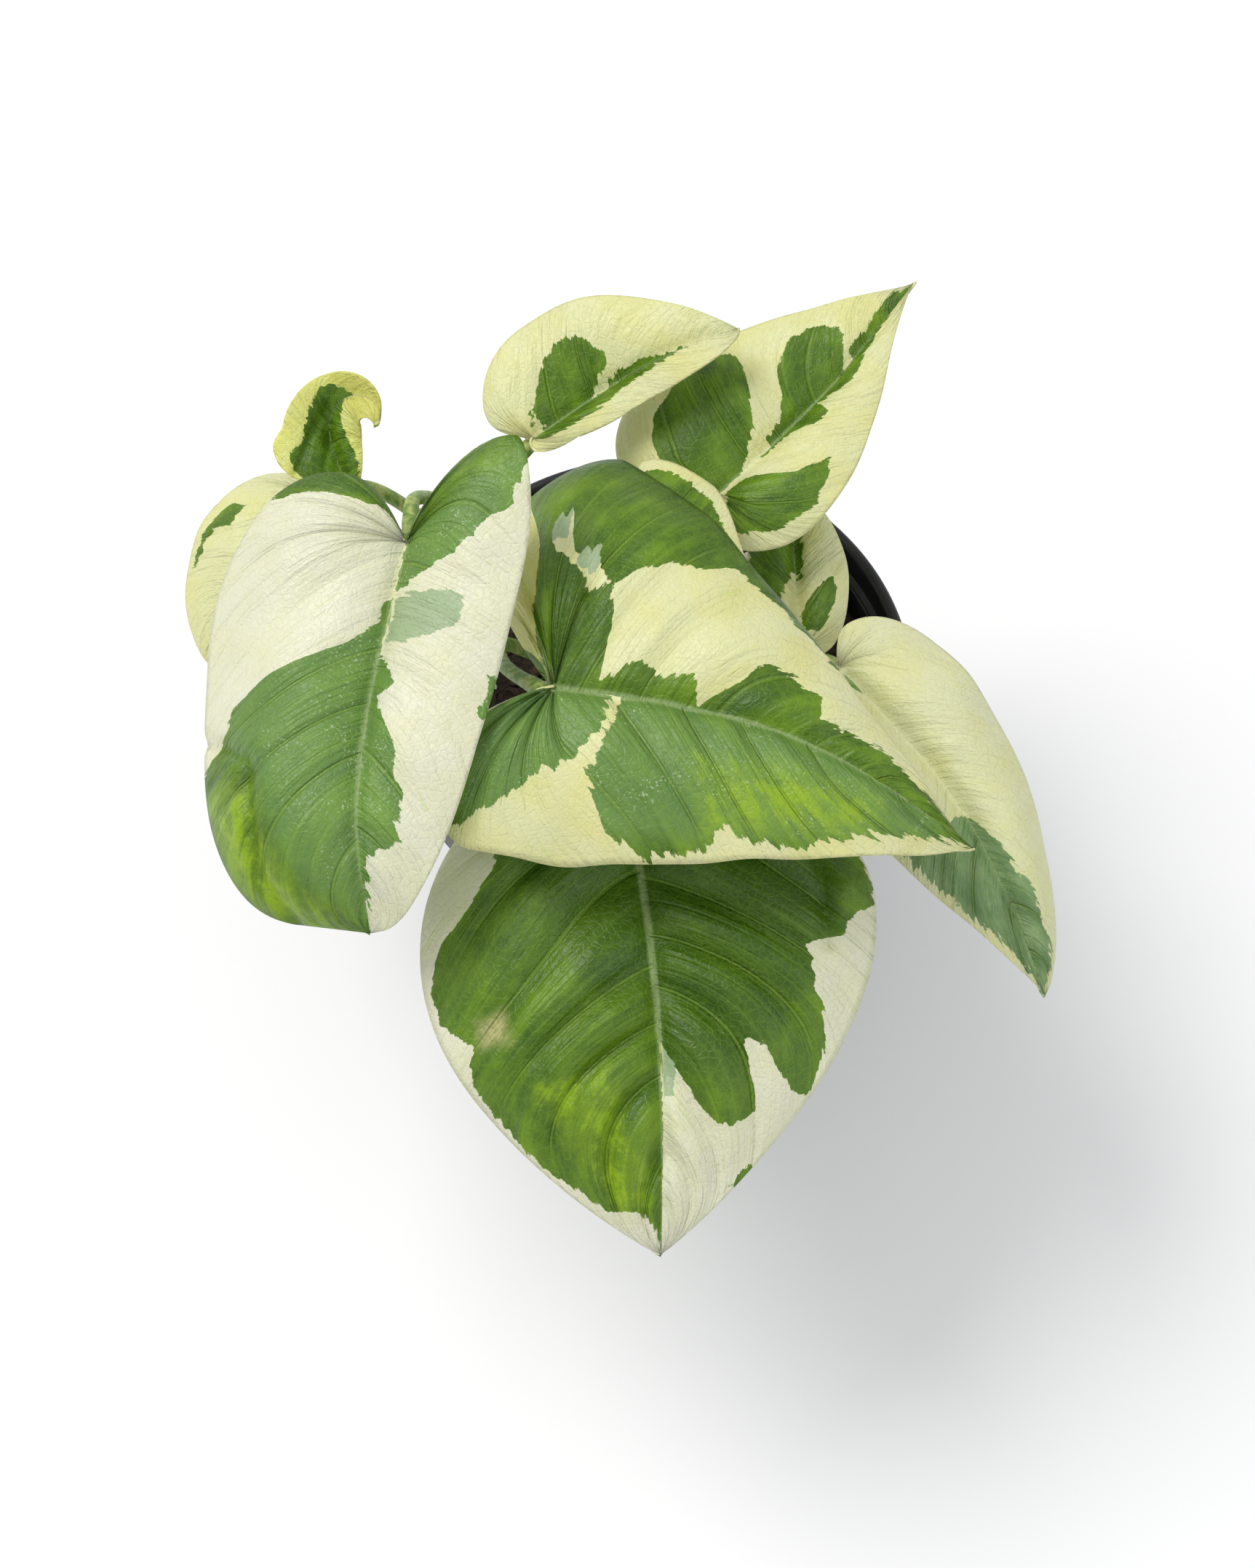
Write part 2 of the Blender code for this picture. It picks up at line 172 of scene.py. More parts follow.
FLOOR_SIZE = 6.0
floor_mesh = bpy.data.meshes.new("floor")
half_floor = FLOOR_SIZE / 2
floor_mesh.from_pydata([(-half_floor, -half_floor, 0), (half_floor, -half_floor, 0),
                        (half_floor, half_floor, 0), (-half_floor, half_floor, 0)], [], [(0, 1, 2, 3)])
floor = add_object("floor", floor_mesh)
floor_material, tree, where = new_material("pale_floor")
mottle = noise_at(tree, where, 3.0)
pale = mix(tree, mottle, (0.95, 0.95, 0.95), (0.97, 0.97, 0.97))
finish_surface(tree, pale, ramp(tree, mottle, 0, 1, 0.7, 0.8))
floor_mesh.materials.append(floor_material)


# The pot: a thin black nursery pot, moulded in one piece, with a rolled lip on top of a
# short upright band, a tapered wall with two faint stacking rings, and drain holes.

POT_STEPS = 192
LIP = 1.3
WALL = 1.4
FLOOR = 1.6
BASE = 36.0
INNER_BASE = 33.8
FOOT_ROUND = 1.2
BAND = 8.5
STACKING_RINGS = (58.0, 55.0)
SHARP_ANGLE = math.radians(40)
pot_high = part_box("pot")[1]
POT_TALL = pot_high[2] / MM
RIM = pot_high[0] / MM


def add_piece(name, mesh, materials):
    for material in materials:
        mesh.materials.append(material)
    return add_object(name, mesh)


def arc(centre, radius, start, end, steps):
    """Points of a round stretch of a profile, angles in degrees."""
    angles = np.radians(np.linspace(start, end, steps))
    return [(centre[0] + radius * math.cos(a), centre[1] + radius * math.sin(a)) for a in angles]


def smooth_mesh(name, shape):
    """Make the finished shape a smooth mesh with its faces outward."""
    mesh = bpy.data.meshes.new(name)
    bmesh.ops.recalc_face_normals(shape, faces=shape.faces)
    shape.to_mesh(mesh)
    shape.free()
    mesh.shade_smooth()
    return mesh


def ringed_mesh(name, profile, steps):
    """Turn a closed profile of (radius, height) about the upright axis, in millimetres.

    A height may also be a function of the place, for a surface that isn't even.
    """
    shape = bmesh.new()
    rings = []
    for radius, height in profile:
        ring = []
        for k in range(steps if radius else 1):
            turn = 2 * math.pi * k / steps
            x, y = radius * math.cos(turn), radius * math.sin(turn)
            level = height(x, y) if callable(height) else height
            ring.append(shape.verts.new((x * MM, y * MM, level * MM)))
        rings.append(ring)
    for near, far in zip(rings, rings[1:]):
        for k in range(steps):
            corners = [near[k % len(near)], far[k % len(far)],
                       far[(k + 1) % len(far)], near[(k + 1) % len(near)]]
            shape.faces.new(list(dict.fromkeys(corners)))
    return smooth_mesh(name, shape)


band_low = POT_TALL - BAND
lip_middle = (RIM - LIP, POT_TALL - LIP)
inner_top = RIM - 2 * LIP - WALL
profile = [(0, FLOOR), (INNER_BASE, FLOOR)] + arc((INNER_BASE, FLOOR + 1.0), 1.0, -90, -10, 4)
profile += [(inner_top - 0.9, band_low - 6.0), (inner_top - 0.3, band_low - 5.4), (inner_top, band_low)]
profile += arc((inner_top + 0.3, band_low + 0.7), 0.6, 200, 110, 4)[::-1]
profile += [(RIM - 2 * LIP, band_low + 2.0)] + arc(lip_middle, LIP, 180, 0, 12)
profile += [(RIM, band_low + 0.5)] + arc((RIM - 0.5, band_low + 0.3), 0.5, 0, -80, 4)
profile += [(inner_top + WALL, band_low - 0.4)]
for ring_height in STACKING_RINGS:
    wall = BASE + (inner_top + WALL - BASE) * ring_height / band_low
    profile += [(wall + 0.05, ring_height + 0.8), (wall + 0.35, ring_height + 0.3),
                (wall + 0.35, ring_height - 0.3), (wall - 0.05, ring_height - 0.8)]
profile += [(BASE, FOOT_ROUND)] + arc((BASE - FOOT_ROUND, FOOT_ROUND), FOOT_ROUND, 0, -90, 5) + [(0, 0)]
pot_mesh = ringed_mesh("pot_shell", profile, POT_STEPS)
pot_mesh.set_sharp_from_angle(angle=SHARP_ANGLE)

pot_material, tree, where = new_material("pot_plastic")
grain = noise_at(tree, where, 2600.0, 2.0)
scuff = noise_at(tree, where, 90.0, 6.0, 0.65)
dust = ramp(tree, noise_at(tree, where, 45.0, 8.0, 0.7), 0.50, 0.75)
plastic = mix(tree, maths(tree, "MULTIPLY", dust, 0.35), (0.006, 0.006, 0.007), (0.045, 0.042, 0.038))
finish_surface(tree, plastic, ramp(tree, scuff, 0.3, 0.7, 0.30, 0.50),
               weighed_sum(tree, (grain, 1.0), (scuff, 2.0)), 0.00003)
pot = add_piece("pot_shell", pot_mesh, [pot_material])

DRAIN_HOLES = 8
DRAIN_RING = 25.0
DRAIN_RADIUS = 2.0
drill_mesh = bpy.data.meshes.new("drain_drill")
shape = bmesh.new()
for k in range(DRAIN_HOLES):
    turn = 2 * math.pi * (k + 0.5) / DRAIN_HOLES
    place = Matrix.Translation((DRAIN_RING * MM * math.cos(turn), DRAIN_RING * MM * math.sin(turn), MM))
    bmesh.ops.create_cone(shape, cap_ends=True, segments=32, radius1=DRAIN_RADIUS * MM,
                          radius2=DRAIN_RADIUS * MM, depth=4 * MM, matrix=place)
shape.to_mesh(drill_mesh)
shape.free()
drill = add_object("drain_drill", drill_mesh)
holes = pot.modifiers.new("drain_holes", "BOOLEAN")
holes.object = drill
bpy.context.view_layer.update()
drilled = bpy.data.meshes.new_from_object(pot.evaluated_get(bpy.context.evaluated_depsgraph_get()))
pot.modifiers.clear()
pot.data = drilled
bpy.data.objects.remove(drill)
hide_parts("pot")
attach(pot, "root")


# The potting mix: damp peat, so its top is lumpy, with crumbs of bark and white perlite
# lying loose on it. It is pressed in by hand and settles a little below the rim.

SOIL_TOP = 77.0
SOIL_CROWN = 2.0
SOIL_RINGS = 60
SOIL_STEPS = 180
SOIL_FOOT = 33.0
soil_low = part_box("soil")[0][2] / MM
soil_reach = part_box("soil")[1][0] / MM


def soil_height(x, y):
    """Height of the lumpy surface, in millimetres."""
    away = min(1.0, math.hypot(x, y) / soil_reach)
    lumps = noise.fractal(Vector((x / 7.0, y / 7.0, 3.1)), 0.8, 2.1, 5)
    return SOIL_TOP - 0.3 + SOIL_CROWN * (1 - away * away) * 0.8 + 0.85 * lumps


profile = [(soil_reach * i / SOIL_RINGS, soil_height) for i in range(SOIL_RINGS + 1)]
profile += [(soil_reach - 1.0, SOIL_TOP - 6), (SOIL_FOOT + 1.2, soil_low + 1.5), (SOIL_FOOT, soil_low)]
soil_mesh = ringed_mesh("soil_top", profile + [(0, soil_low)], SOIL_STEPS)

soil_material, tree, where = new_material("potting_mix")
crumb = noise_at(tree, where, 900.0, 8.0, 0.7)
patchy = noise_at(tree, where, 120.0, 5.0, 0.6)
fibre = add_node(tree, "ShaderNodeTexVoronoi", Vector=where, Scale=650.0).outputs[0]
peat = mix(tree, ramp(tree, crumb, 0.35, 0.70), (0.010, 0.006, 0.004), (0.060, 0.036, 0.020))
peat = mix(tree, maths(tree, "MULTIPLY", ramp(tree, patchy, 0.5, 0.8), 0.5), peat, (0.10, 0.060, 0.032))
finish_surface(tree, peat, ramp(tree, patchy, 0.3, 0.7, 0.80, 0.98),
               weighed_sum(tree, (crumb, 1.0), (fibre, 0.8)), 0.0007)
soil = add_piece("soil_top", soil_mesh, [soil_material])
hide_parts("soil")
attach(soil, "root")


def scatter(name, count, sizes, squash, seed, material):
    """Loose bits lying on the potting mix, joined into one piece."""
    dice = random.Random(seed)
    pile = bmesh.new()
    for _ in range(count):
        turn = dice.uniform(0, 2 * math.pi)
        away = (soil_reach - 2.5) * math.sqrt(dice.random())
        x, y = away * math.cos(turn), away * math.sin(turn)
        size = dice.uniform(*sizes)
        spin = Matrix.Rotation(dice.uniform(0, 6.3), 4, "Z")
        spin = spin @ Matrix.Rotation(dice.uniform(-0.5, 0.5), 4, "X")
        lie = Matrix.Translation(Vector((x, y, soil_height(x, y) + 0.15 * size)) * MM)
        flatten = Matrix.Diagonal((size * MM, size * dice.uniform(*squash) * MM, size * 0.55 * MM, 1))
        bit = bmesh.ops.create_icosphere(pile, subdivisions=2, radius=0.5)
        for vert in bit["verts"]:
            knock = noise.noise(vert.co * 2.3 + Vector((x, y, size)))
            vert.co *= 1 + 0.55 * knock
            vert.co = lie @ spin @ flatten @ vert.co
    mesh = bpy.data.meshes.new(name)
    pile.to_mesh(mesh)
    pile.free()
    piece = add_piece(name, mesh, [material])
    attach(piece, "root")


bark_material, tree, where = new_material("bark_crumbs")
grain = noise_at(tree, where, 700.0, 6.0, 0.65)
shade = noise_at(tree, where, 160.0, 2.0)
bark = mix(tree, ramp(tree, grain, 0.3, 0.7), (0.022, 0.012, 0.007), (0.115, 0.062, 0.032))
bark = mix(tree, ramp(tree, shade, 0.4, 0.65), bark, (0.035, 0.022, 0.014))
finish_surface(tree, bark, ramp(tree, grain, 0.2, 0.8, 0.75, 0.95), grain, 0.0004)
scatter("bark_crumbs", 620, (1.0, 3.6), (0.35, 0.8), 11, bark_material)

perlite_material, tree, where = new_material("perlite")
pores = noise_at(tree, where, 1900.0, 5.0, 0.7)
white = mix(tree, ramp(tree, pores, 0.35, 0.6), (0.42, 0.38, 0.33), (0.80, 0.78, 0.73))
finish_surface(tree, white, ramp(tree, pores, 0.2, 0.8, 0.95, 0.80), pores, 0.0003)
scatter("perlite", 110, (1.0, 2.8), (0.7, 1.0), 5, perlite_material)


# The vines: three young green stems rooted in the mix. Each is a round, slightly ridged
# shoot with a swollen ring at every node, a brown root bud beside it and a pointed tip.

VINE_RADIUS = 2.35
VINE_SIDES = 20
VINE_POINTS = 150
NODE_WIDTH = 0.012
BUD_RADIUS = 0.75
BUD_LENGTH = 3.4
BUD_POINTS = 12
ASKEW = Vector((0.31, 0.17, 0.9))
VINES = {
    "left": ([(-13, 3, 56), (-15, 4, 78), (-21, 8, 94), (-31, 13, 107), (-43, 16, 118)],
             (0.45, 0.62, 0.82, 0.97)),
    "back": ([(3, 9, 56), (2, 11, 78), (0, 13, 95), (3, 15, 110)], (0.66, 0.84, 0.97)),
    "front": ([(7, -13, 56), (8, -15, 78), (7, -17, 93), (9, -19, 105)], (0.72, 0.84, 0.97)),
}


def between(a, b, c, d, t):
    """A smooth way from b to c, with a before them and d after them."""
    return 0.5 * (2 * b + (c - a) * t + (2 * a - 5 * b + 4 * c - d) * t ** 2
                  + (3 * b - a - 3 * c + d) * t ** 3)


def smooth_line(points, count):
    """Evenly spaced points on a smooth curve through the given ones."""
    chain = np.array(points, float)
    chain = np.vstack([2 * chain[0] - chain[1], chain, 2 * chain[-1] - chain[-2]])
    steps = np.linspace(0, 1, 40, endpoint=False)[:, None]
    parts = [between(*four, steps) for four in zip(chain, chain[1:], chain[2:], chain[3:])]
    line = np.vstack(parts + [chain[-2]])
    return along_line(line, np.linspace(0, 1, count))


def run_lengths(line):
    """Length of a polyline up to each of its points."""
    return np.concatenate([[0], np.cumsum(np.linalg.norm(np.diff(line, axis=0), axis=1))])


def along_line(line, shares):
    """Points at the given shares of a polyline's length."""
    run = run_lengths(line)
    run /= run[-1]
    return np.stack([np.interp(shares, run, line[:, k]) for k in range(line.shape[1])], axis=-1)


def sweep(name, line, radii, sides, outline=None):
    """A closed skin round a line in millimetres; outline(turn, share) shapes the section."""
    shape = bmesh.new()
    points = [Vector(point) for point in line]
    runs = [(b - a).normalized() for a, b in zip(points, points[1:])]
    runs.append(runs[-1])
    across = runs[0].cross(ASKEW).normalized()
    rings = []
    for i, (point, run, radius) in enumerate(zip(points, runs, radii)):
        across = (across - across.project(run)).normalized()
        up = run.cross(across)
        ring = []
        for k in range(sides):
            turn = 2 * math.pi * k / sides
            reach = float(radius) * (outline(turn, i / (len(points) - 1)) if outline else 1)
            spot = point + reach * (math.cos(turn) * across + math.sin(turn) * up)
            ring.append(shape.verts.new(spot * MM))
        rings.append(ring)
    for near, far in zip(rings, rings[1:]):
        for k in range(sides):
            shape.faces.new([near[k], near[(k + 1) % sides], far[(k + 1) % sides], far[k]])
    shape.faces.new(rings[0][::-1])
    shape.faces.new(rings[-1])
    return smooth_mesh(name, shape)


def green_skin(name, green, pale, low=0.35, high=0.65):
    """Living green skin that runs in long streaks, green to pale."""
    material, tree, where = new_material(name)
    stretched = add_node(tree, "ShaderNodeMapping", Vector=where, Scale=(1.0, 1.0, 0.16))
    streak = noise_at(tree, stretched.outputs[0], 900.0, 4.0)
    patch = noise_at(tree, where, 130.0, 3.0)
    tone = weighed_sum(tree, (streak, 0.5), (patch, 0.5))
    colour = mix(tree, ramp(tree, tone, low, high), green, pale)
    grain = noise_at(tree, where, 2500.0, 3.0)
    shader = finish_surface(tree, colour, ramp(tree, grain, 0.2, 0.8, 0.34, 0.48),
                            maths(tree, "ADD", streak, grain), 0.00008)
    shader.inputs["Subsurface Weight"].default_value = 0.12
    shader.inputs["Subsurface Radius"].default_value = (0.0015, 0.0018, 0.0006)
    shader.inputs["Subsurface Scale"].default_value = 1.0
    return material


vine_skin = green_skin("vine_skin", (0.075, 0.165, 0.028), (0.26, 0.36, 0.11))
root_bud_skin, tree, where = new_material("root_bud_skin")
grain = noise_at(tree, where, 1500.0, 4.0)
finish_surface(tree, mix(tree, grain, (0.10, 0.055, 0.025), (0.30, 0.20, 0.10)),
               ramp(tree, grain, 0.2, 0.8, 0.65, 0.85), grain, 0.0002)


def vine_outline(turn, share):
    """Three low ridges that wind slowly round the vine, and finer ones on them."""
    return 1 + 0.035 * math.cos(3 * turn + 4 * share) + 0.012 * math.cos(9 * turn)


vine_lines = {}
for name, (route, nodes) in VINES.items():
    line = smooth_line(route, VINE_POINTS)
    vine_lines[name] = line
    shares = np.linspace(0, 1, VINE_POINTS)
    radii = VINE_RADIUS * (1.04 - 0.16 * shares)
    for node in nodes:
        radii = radii + 0.34 * np.exp(-((shares - node) / NODE_WIDTH) ** 2)
        radii = radii - 0.16 * np.exp(-((shares - node - 0.028) / NODE_WIDTH) ** 2)
    radii = radii * np.clip((1.0 - shares) / 0.022, 0.12, 1.0) ** 0.5
    mesh = sweep("vine_" + name, line, radii, VINE_SIDES, vine_outline)
    vine = add_piece("vine_" + name, mesh, [vine_skin])
    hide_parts("stem_" + name)
    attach(vine, "root")
    for k, node in enumerate(nodes):
        at = along_line(line, np.array([node - NODE_WIDTH]))[0]
        out = Vector((math.cos(2.4 * k + 1.0), math.sin(2.4 * k + 1.0), -0.35)).normalized()
        bud_line = [Vector(at) + out * (1.2 + reach) + Vector((0, 0, -0.08 * reach ** 2))
                    for reach in np.linspace(0, BUD_LENGTH, BUD_POINTS)]
        bud_radii = BUD_RADIUS * np.linspace(1, 0.05, BUD_POINTS) ** 0.6
        bud_name = f"root_bud_{name}_{k + 1}"
        bud = add_piece(bud_name, sweep(bud_name, bud_line, bud_radii, 10), [root_bud_skin])
        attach(bud, "root")


# The leaves are each one thin waxy blade on a round stalk. Green cells grow only in some
# strips between the veins, so the colour lies in bands with ragged ends. Seen from above,
# "across" runs to the right of the midrib and "along" from the stalk's joint to the tip.

BLADE_THICKNESS = 0.42
SINUS_OPEN = 0.45
RAYS = 130
RINGS = 36
RING_CROWDING = 1.3
VEIN_BOW = 0.08
GROOVE_DEPTH = 0.75
GROOVE_WIDTH = 1.5
MIDRIB_HEIGHT = 0.32
MIDRIB_WIDTH = 0.5
GROOVE_FADE = 9
RIPPLE_SIZE = 9
FAR = 9.0
WELD = 0.002
BAND_KINDS = ("green", "painted_shade", "grey", "lime", "dusty_glints", "yellow", "tan")
STALK_RADIUS = 1.3
STALK_SIDES = 16
STALK_POINTS = 160
NODE_SPAN = 0.03
RIB_RADIUS = 0.95
PLAIN_LEAF = {"roll": 0, "split": 0.30, "ragged": 0.6, "lean": 0.1, "puff": 1, "waves": 4}


def levels_at(levels, shares):
    """Smooth heights between levels given at even steps."""
    padded = np.array([2 * levels[0] - levels[1], *levels, 2 * levels[-1] - levels[-2]], float)
    position = np.clip(shares, 0, 1) * (len(levels) - 1)
    index = np.minimum(position.astype(int), len(levels) - 2)
    return between(*(padded[index + k] for k in range(4)), position - index)


def blade_frame(leaf):
    """Rows that turn (across, along, up) into the plant's own directions."""
    heading, pitch, roll = (math.radians(leaf[key]) for key in ("heading", "pitch", "roll"))
    along = Vector((math.cos(heading) * math.cos(pitch), math.sin(heading) * math.cos(pitch),
                    math.sin(pitch)))
    across = along.cross(Vector((0, 0, 1))).normalized()
    across = Matrix.Rotation(-roll, 3, along) @ across
    return np.array([across, along, across.cross(along)])


def curled(leaf, across, along):
    """Places on the blade's plane, turned round a circle past where the tip curls over."""
    radius, start = leaf.get("curl", (1.0, 1000.0))
    turn = np.maximum(0, along - start) / radius
    return np.stack([radius - (radius - across) * np.cos(turn),
                     np.minimum(along, start) + (radius - across) * np.sin(turn)], axis=-1)


def midrib_line(leaf):
    shares = np.linspace(0, 1, 200)
    return curled(leaf, leaf["sweep"] * np.sin(math.pi * shares), leaf["length"] * shares)


def margin_line(leaf, side):
    """One margin: out of the sinus, round the basal lobe and up the flank to the tip."""
    width, widest, lobe_across, lobe_back, taper, waist = leaf[side]
    u = np.linspace(0, 1, 60, endpoint=False)
    v = np.linspace(0, 1, 90)
    bend = 2 * u * (1 - u)
    quarter = math.pi / 2
    flank = width * np.maximum(0, np.cos(quarter * v)) ** taper * (1 - waist * np.sin(math.pi * v))
    across = [lobe_across * (SINUS_OPEN * bend + u ** 2),
              lobe_across + (width - lobe_across) * np.sin(quarter * u), flank]
    along = [-lobe_back * (bend + u ** 2), widest - (widest + lobe_back) * np.cos(quarter * u),
             widest + (leaf["length"] - widest) * v]
    sign = -1 if side == "left" else 1
    return curled(leaf, sign * np.concatenate(across), np.concatenate(along))


def distance_to_line(points, line):
    """How far each point is from a line of a few straight stretches."""
    nearest = np.full(len(points), 1e9)
    for a, b in zip(np.array(line, float), np.array(line[1:], float)):
        side = b - a
        share = np.clip(((points - a) @ side) / (side @ side), 0, 1)
        nearest = np.minimum(nearest, np.linalg.norm(points - a - share[:, None] * side, axis=1))
    return nearest


def band_depth(share, ring, reach, spacing, inner, outer):
    """Depth of each place inside a band of colour, in millimetres and below zero outside.

    A band lies between two lines. Each is a list of points, given in percent of the way
    along the margin and out from the midrib. No inner line means the midrib.
    """
    outer = np.array(outer) / 100
    inner = np.array(inner) / 100 if inner else [1, 0] * outer[[0, -1]]
    low = np.interp(share, inner[:, 0], inner[:, 1])
    high = np.interp(share, outer[:, 0], outer[:, 1])
    start, end = max(inner[0, 0], outer[0, 0]), min(inner[-1, 0], outer[-1, 0])
    depth = np.where(low > 0, (ring - low) * reach, FAR)
    depth = np.minimum(depth, np.where(high < 1, (high - ring) * reach, FAR))
    if start > 0:
        depth = np.minimum(depth, (share - start) * spacing)
    if end < 1:
        depth = np.minimum(depth, (end - share) * spacing)
    return depth


def blade_sheet(leaf):
    """Places, vein coordinates, colour depths and faces of one blade's upper face."""
    midrib = midrib_line(leaf)
    share = np.linspace(0, 1, RAYS + 1)
    ring = np.linspace(0, 1, RINGS + 1)[None, :] ** RING_CROWDING
    foot_share = np.clip((share - leaf["split"]) / (1 - leaf["split"]), 0, 1)
    foot = along_line(midrib, foot_share)
    midrib_length = run_lengths(midrib)[-1]
    flats, heights, veins, faces = [], [], [], []
    depths = {kind: [] for kind in BAND_KINDS}
    for sign, side in ((-1, "left"), (1, "right")):
        margin = margin_line(leaf, side)
        margin_length = run_lengths(margin)[-1]
        ray = along_line(margin, share) - foot
        reach = np.linalg.norm(ray, axis=1)[:, None]
        bow = sign * np.stack([ray[:, 1], -ray[:, 0]], axis=1) * VEIN_BOW
        bow = bow * np.minimum(1, 4 * share)[:, None]
        flat = (foot[:, None] + ray[:, None] * ring[..., None]
                + bow[:, None] * (ring * (1 - ring))[..., None])
        height = (levels_at(leaf["spine"], foot_share)[:, None]
                  + levels_at(leaf[side + "_edge"], share)[:, None] * ring
                  + levels_at(leaf[side + "_bulge"], share)[:, None] * 4 * ring * (1 - ring))
        lean = leaf["lean"] * ring ** 1.3 * np.minimum(1, share / leaf["split"])[:, None]
        vein = (share[:, None] - lean) * leaf["veins"] + 0.35 * sign
        vein += 0.22 * np.sin(2 * math.pi * 2.6 * share + 2 * sign)[:, None]
        body = np.sin(math.pi * ring ** 0.6) * np.minimum(1, reach / 18)
        height += leaf["quilt"] * body * (np.abs(np.sin(math.pi * vein)) ** leaf["puff"] - 0.6)
        height += leaf["wave"] * ring ** 4 * np.sin(2 * math.pi * share * leaf["waves"] + sign)[:, None]
        away = ring * reach
        height -= GROOVE_DEPTH * np.exp(-(away / GROOVE_WIDTH) ** 2) * np.minimum(1, reach / GROOVE_FADE)
        height += MIDRIB_HEIGHT * np.exp(-(away / MIDRIB_WIDTH) ** 2) * np.minimum(1, reach / GROOVE_FADE)
        spacing = margin_length * ring + midrib_length * (1 - ring)
        for kind, into in depths.items():
            depth = np.full(height.shape, -FAR)
            for band_kind, band_side, inner, outer in leaf["bands"]:
                if (band_kind, band_side) == (kind, side):
                    inside = band_depth(share[:, None], ring, reach, spacing, inner, outer)
                    depth = np.maximum(depth, inside)
            into.append(depth.ravel() / leaf["ragged"])
        base = sum(len(part) for part in flats)
        flats.append(flat.reshape(-1, 2))
        heights.append(height.ravel())
        veins.append(np.stack([vein.ravel(), (sign * ring + 0 * vein).ravel()], axis=1))
        for i in range(RAYS):
            for j in range(RINGS):
                a = base + i * (RINGS + 1) + j
                corners = (a, a + 1, a + RINGS + 2, a + RINGS + 1)
                faces.append(corners if sign == 1 else corners[::-1])
    flat, height = np.vstack(flats), np.concatenate(heights)
    for across, along, radius, lift in leaf.get("bumps", ()):
        away = np.linalg.norm(flat - (across, along), axis=1)
        height = height + lift * np.exp(-(away / radius) ** 2)
    for line, depth, width in leaf.get("creases", ()):
        height = height - depth * np.exp(-(distance_to_line(flat, line) / width) ** 2)
    seed = Vector((leaf["heading"], 7.0, 3.0))
    ripple = [noise.noise(Vector((x / RIPPLE_SIZE, y / RIPPLE_SIZE, 0)) + seed) for x, y in flat]
    height = height + leaf["ripple"] * np.array(ripple)
    places = np.array(leaf["joint"]) + np.column_stack([flat, height]) @ blade_frame(leaf)
    depths = {kind: np.concatenate(parts).astype(np.float32) for kind, parts in depths.items()}
    return places, np.vstack(veins), depths, faces


def make_blade(name, leaf, materials):
    """One blade: the sheet, its bands and vein coordinates, and its thickness."""
    places, veins, depths, faces = blade_sheet(leaf)
    mesh = bpy.data.meshes.new("blade_" + name)
    mesh.from_pydata((places * MM).tolist(), [], faces)
    for kind, depth in depths.items():
        layer = mesh.attributes.new(kind, "FLOAT", "POINT")
        layer.data.foreach_set("value", depth)
    layer = mesh.uv_layers.new(name="veins")
    corners = np.zeros(len(mesh.loops), int)
    mesh.loops.foreach_get("vertex_index", corners)
    layer.data.foreach_set("uv", veins[corners].astype(np.float32).ravel())
    shape = bmesh.new()
    shape.from_mesh(mesh)
    bmesh.ops.remove_doubles(shape, verts=shape.verts, dist=WELD * MM)
    shape.to_mesh(mesh)
    shape.free()
    mesh.shade_smooth()
    blade = add_piece("blade_" + name, mesh, materials)
    solid = blade.modifiers.new("thickness", "SOLIDIFY")
    solid.thickness = BLADE_THICKNESS * MM
    solid.offset = -1.0
    solid.material_offset = 1
    solid.material_offset_rim = 0
    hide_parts("leaf_" + name)
    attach(blade, "root")


def stalk_outline(turn, share):
    """A shallow channel along one side of the stalk, and faint ribs."""
    return 1 - 0.07 * max(0.0, math.cos(turn)) ** 6 + 0.02 * math.cos(7 * turn)


def make_stalk(name, leaf):
    """The stalk from its node on the vine to the joint, running on as a rib under the blade."""
    vine, node, *route = leaf["stalk"]
    at, ahead = along_line(vine_lines[vine], np.array([node, min(1.0, node + NODE_SPAN)]))
    before = along_line(vine_lines[vine], np.array([node - NODE_SPAN]))[0]
    run = (ahead - before) / np.linalg.norm(ahead - before)
    out = np.array(route[0]) - at
    out = out - out @ run * run
    foot = at + out / np.linalg.norm(out) * (VINE_RADIUS + 1.0)
    shares = np.linspace(0.02, 0.86, 14)
    rib = along_line(midrib_line(leaf), shares)
    rib_radii = RIB_RADIUS - 0.75 * shares
    heights = levels_at(leaf["spine"], shares) - 0.45 - BLADE_THICKNESS - 0.6 * rib_radii
    under = np.array(leaf["joint"]) + np.column_stack([rib, heights]) @ blade_frame(leaf)
    joint = np.array(leaf["joint"]) + np.array([0, -1.4, -2.1]) @ blade_frame(leaf)
    line = smooth_line([foot, *route, joint, *under], STALK_POINTS)
    gone = run_lengths(line)
    bend = gone[np.argmin(np.linalg.norm(line - joint, axis=1))]
    stem_radii = STALK_RADIUS * (1 + 0.30 * np.exp(-gone / 5.0)
                                 + 0.16 * np.exp(-((gone - bend + 2.5) / 2.6) ** 2))
    blade_radii = RIB_RADIUS - 0.72 * np.clip((gone - bend) / (gone[-1] - bend), 0, 1)
    past = np.clip((gone - bend) / 2.5, 0, 1)
    mesh = sweep("stalk_" + name, line, stem_radii * (1 - past) + blade_radii * past, STALK_SIDES,
                 stalk_outline)
    stalk = add_piece("stalk_" + name, mesh, [stalk_skin])
    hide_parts("petiole_" + name)
    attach(stalk, "root")


def grow_leaf(name, shape, materials):
    """One leaf with its stalk; its shape states what differs from a plain leaf."""
    leaf = {**PLAIN_LEAF, **shape}
    make_stalk(name, leaf)
    make_blade(name, leaf, materials)


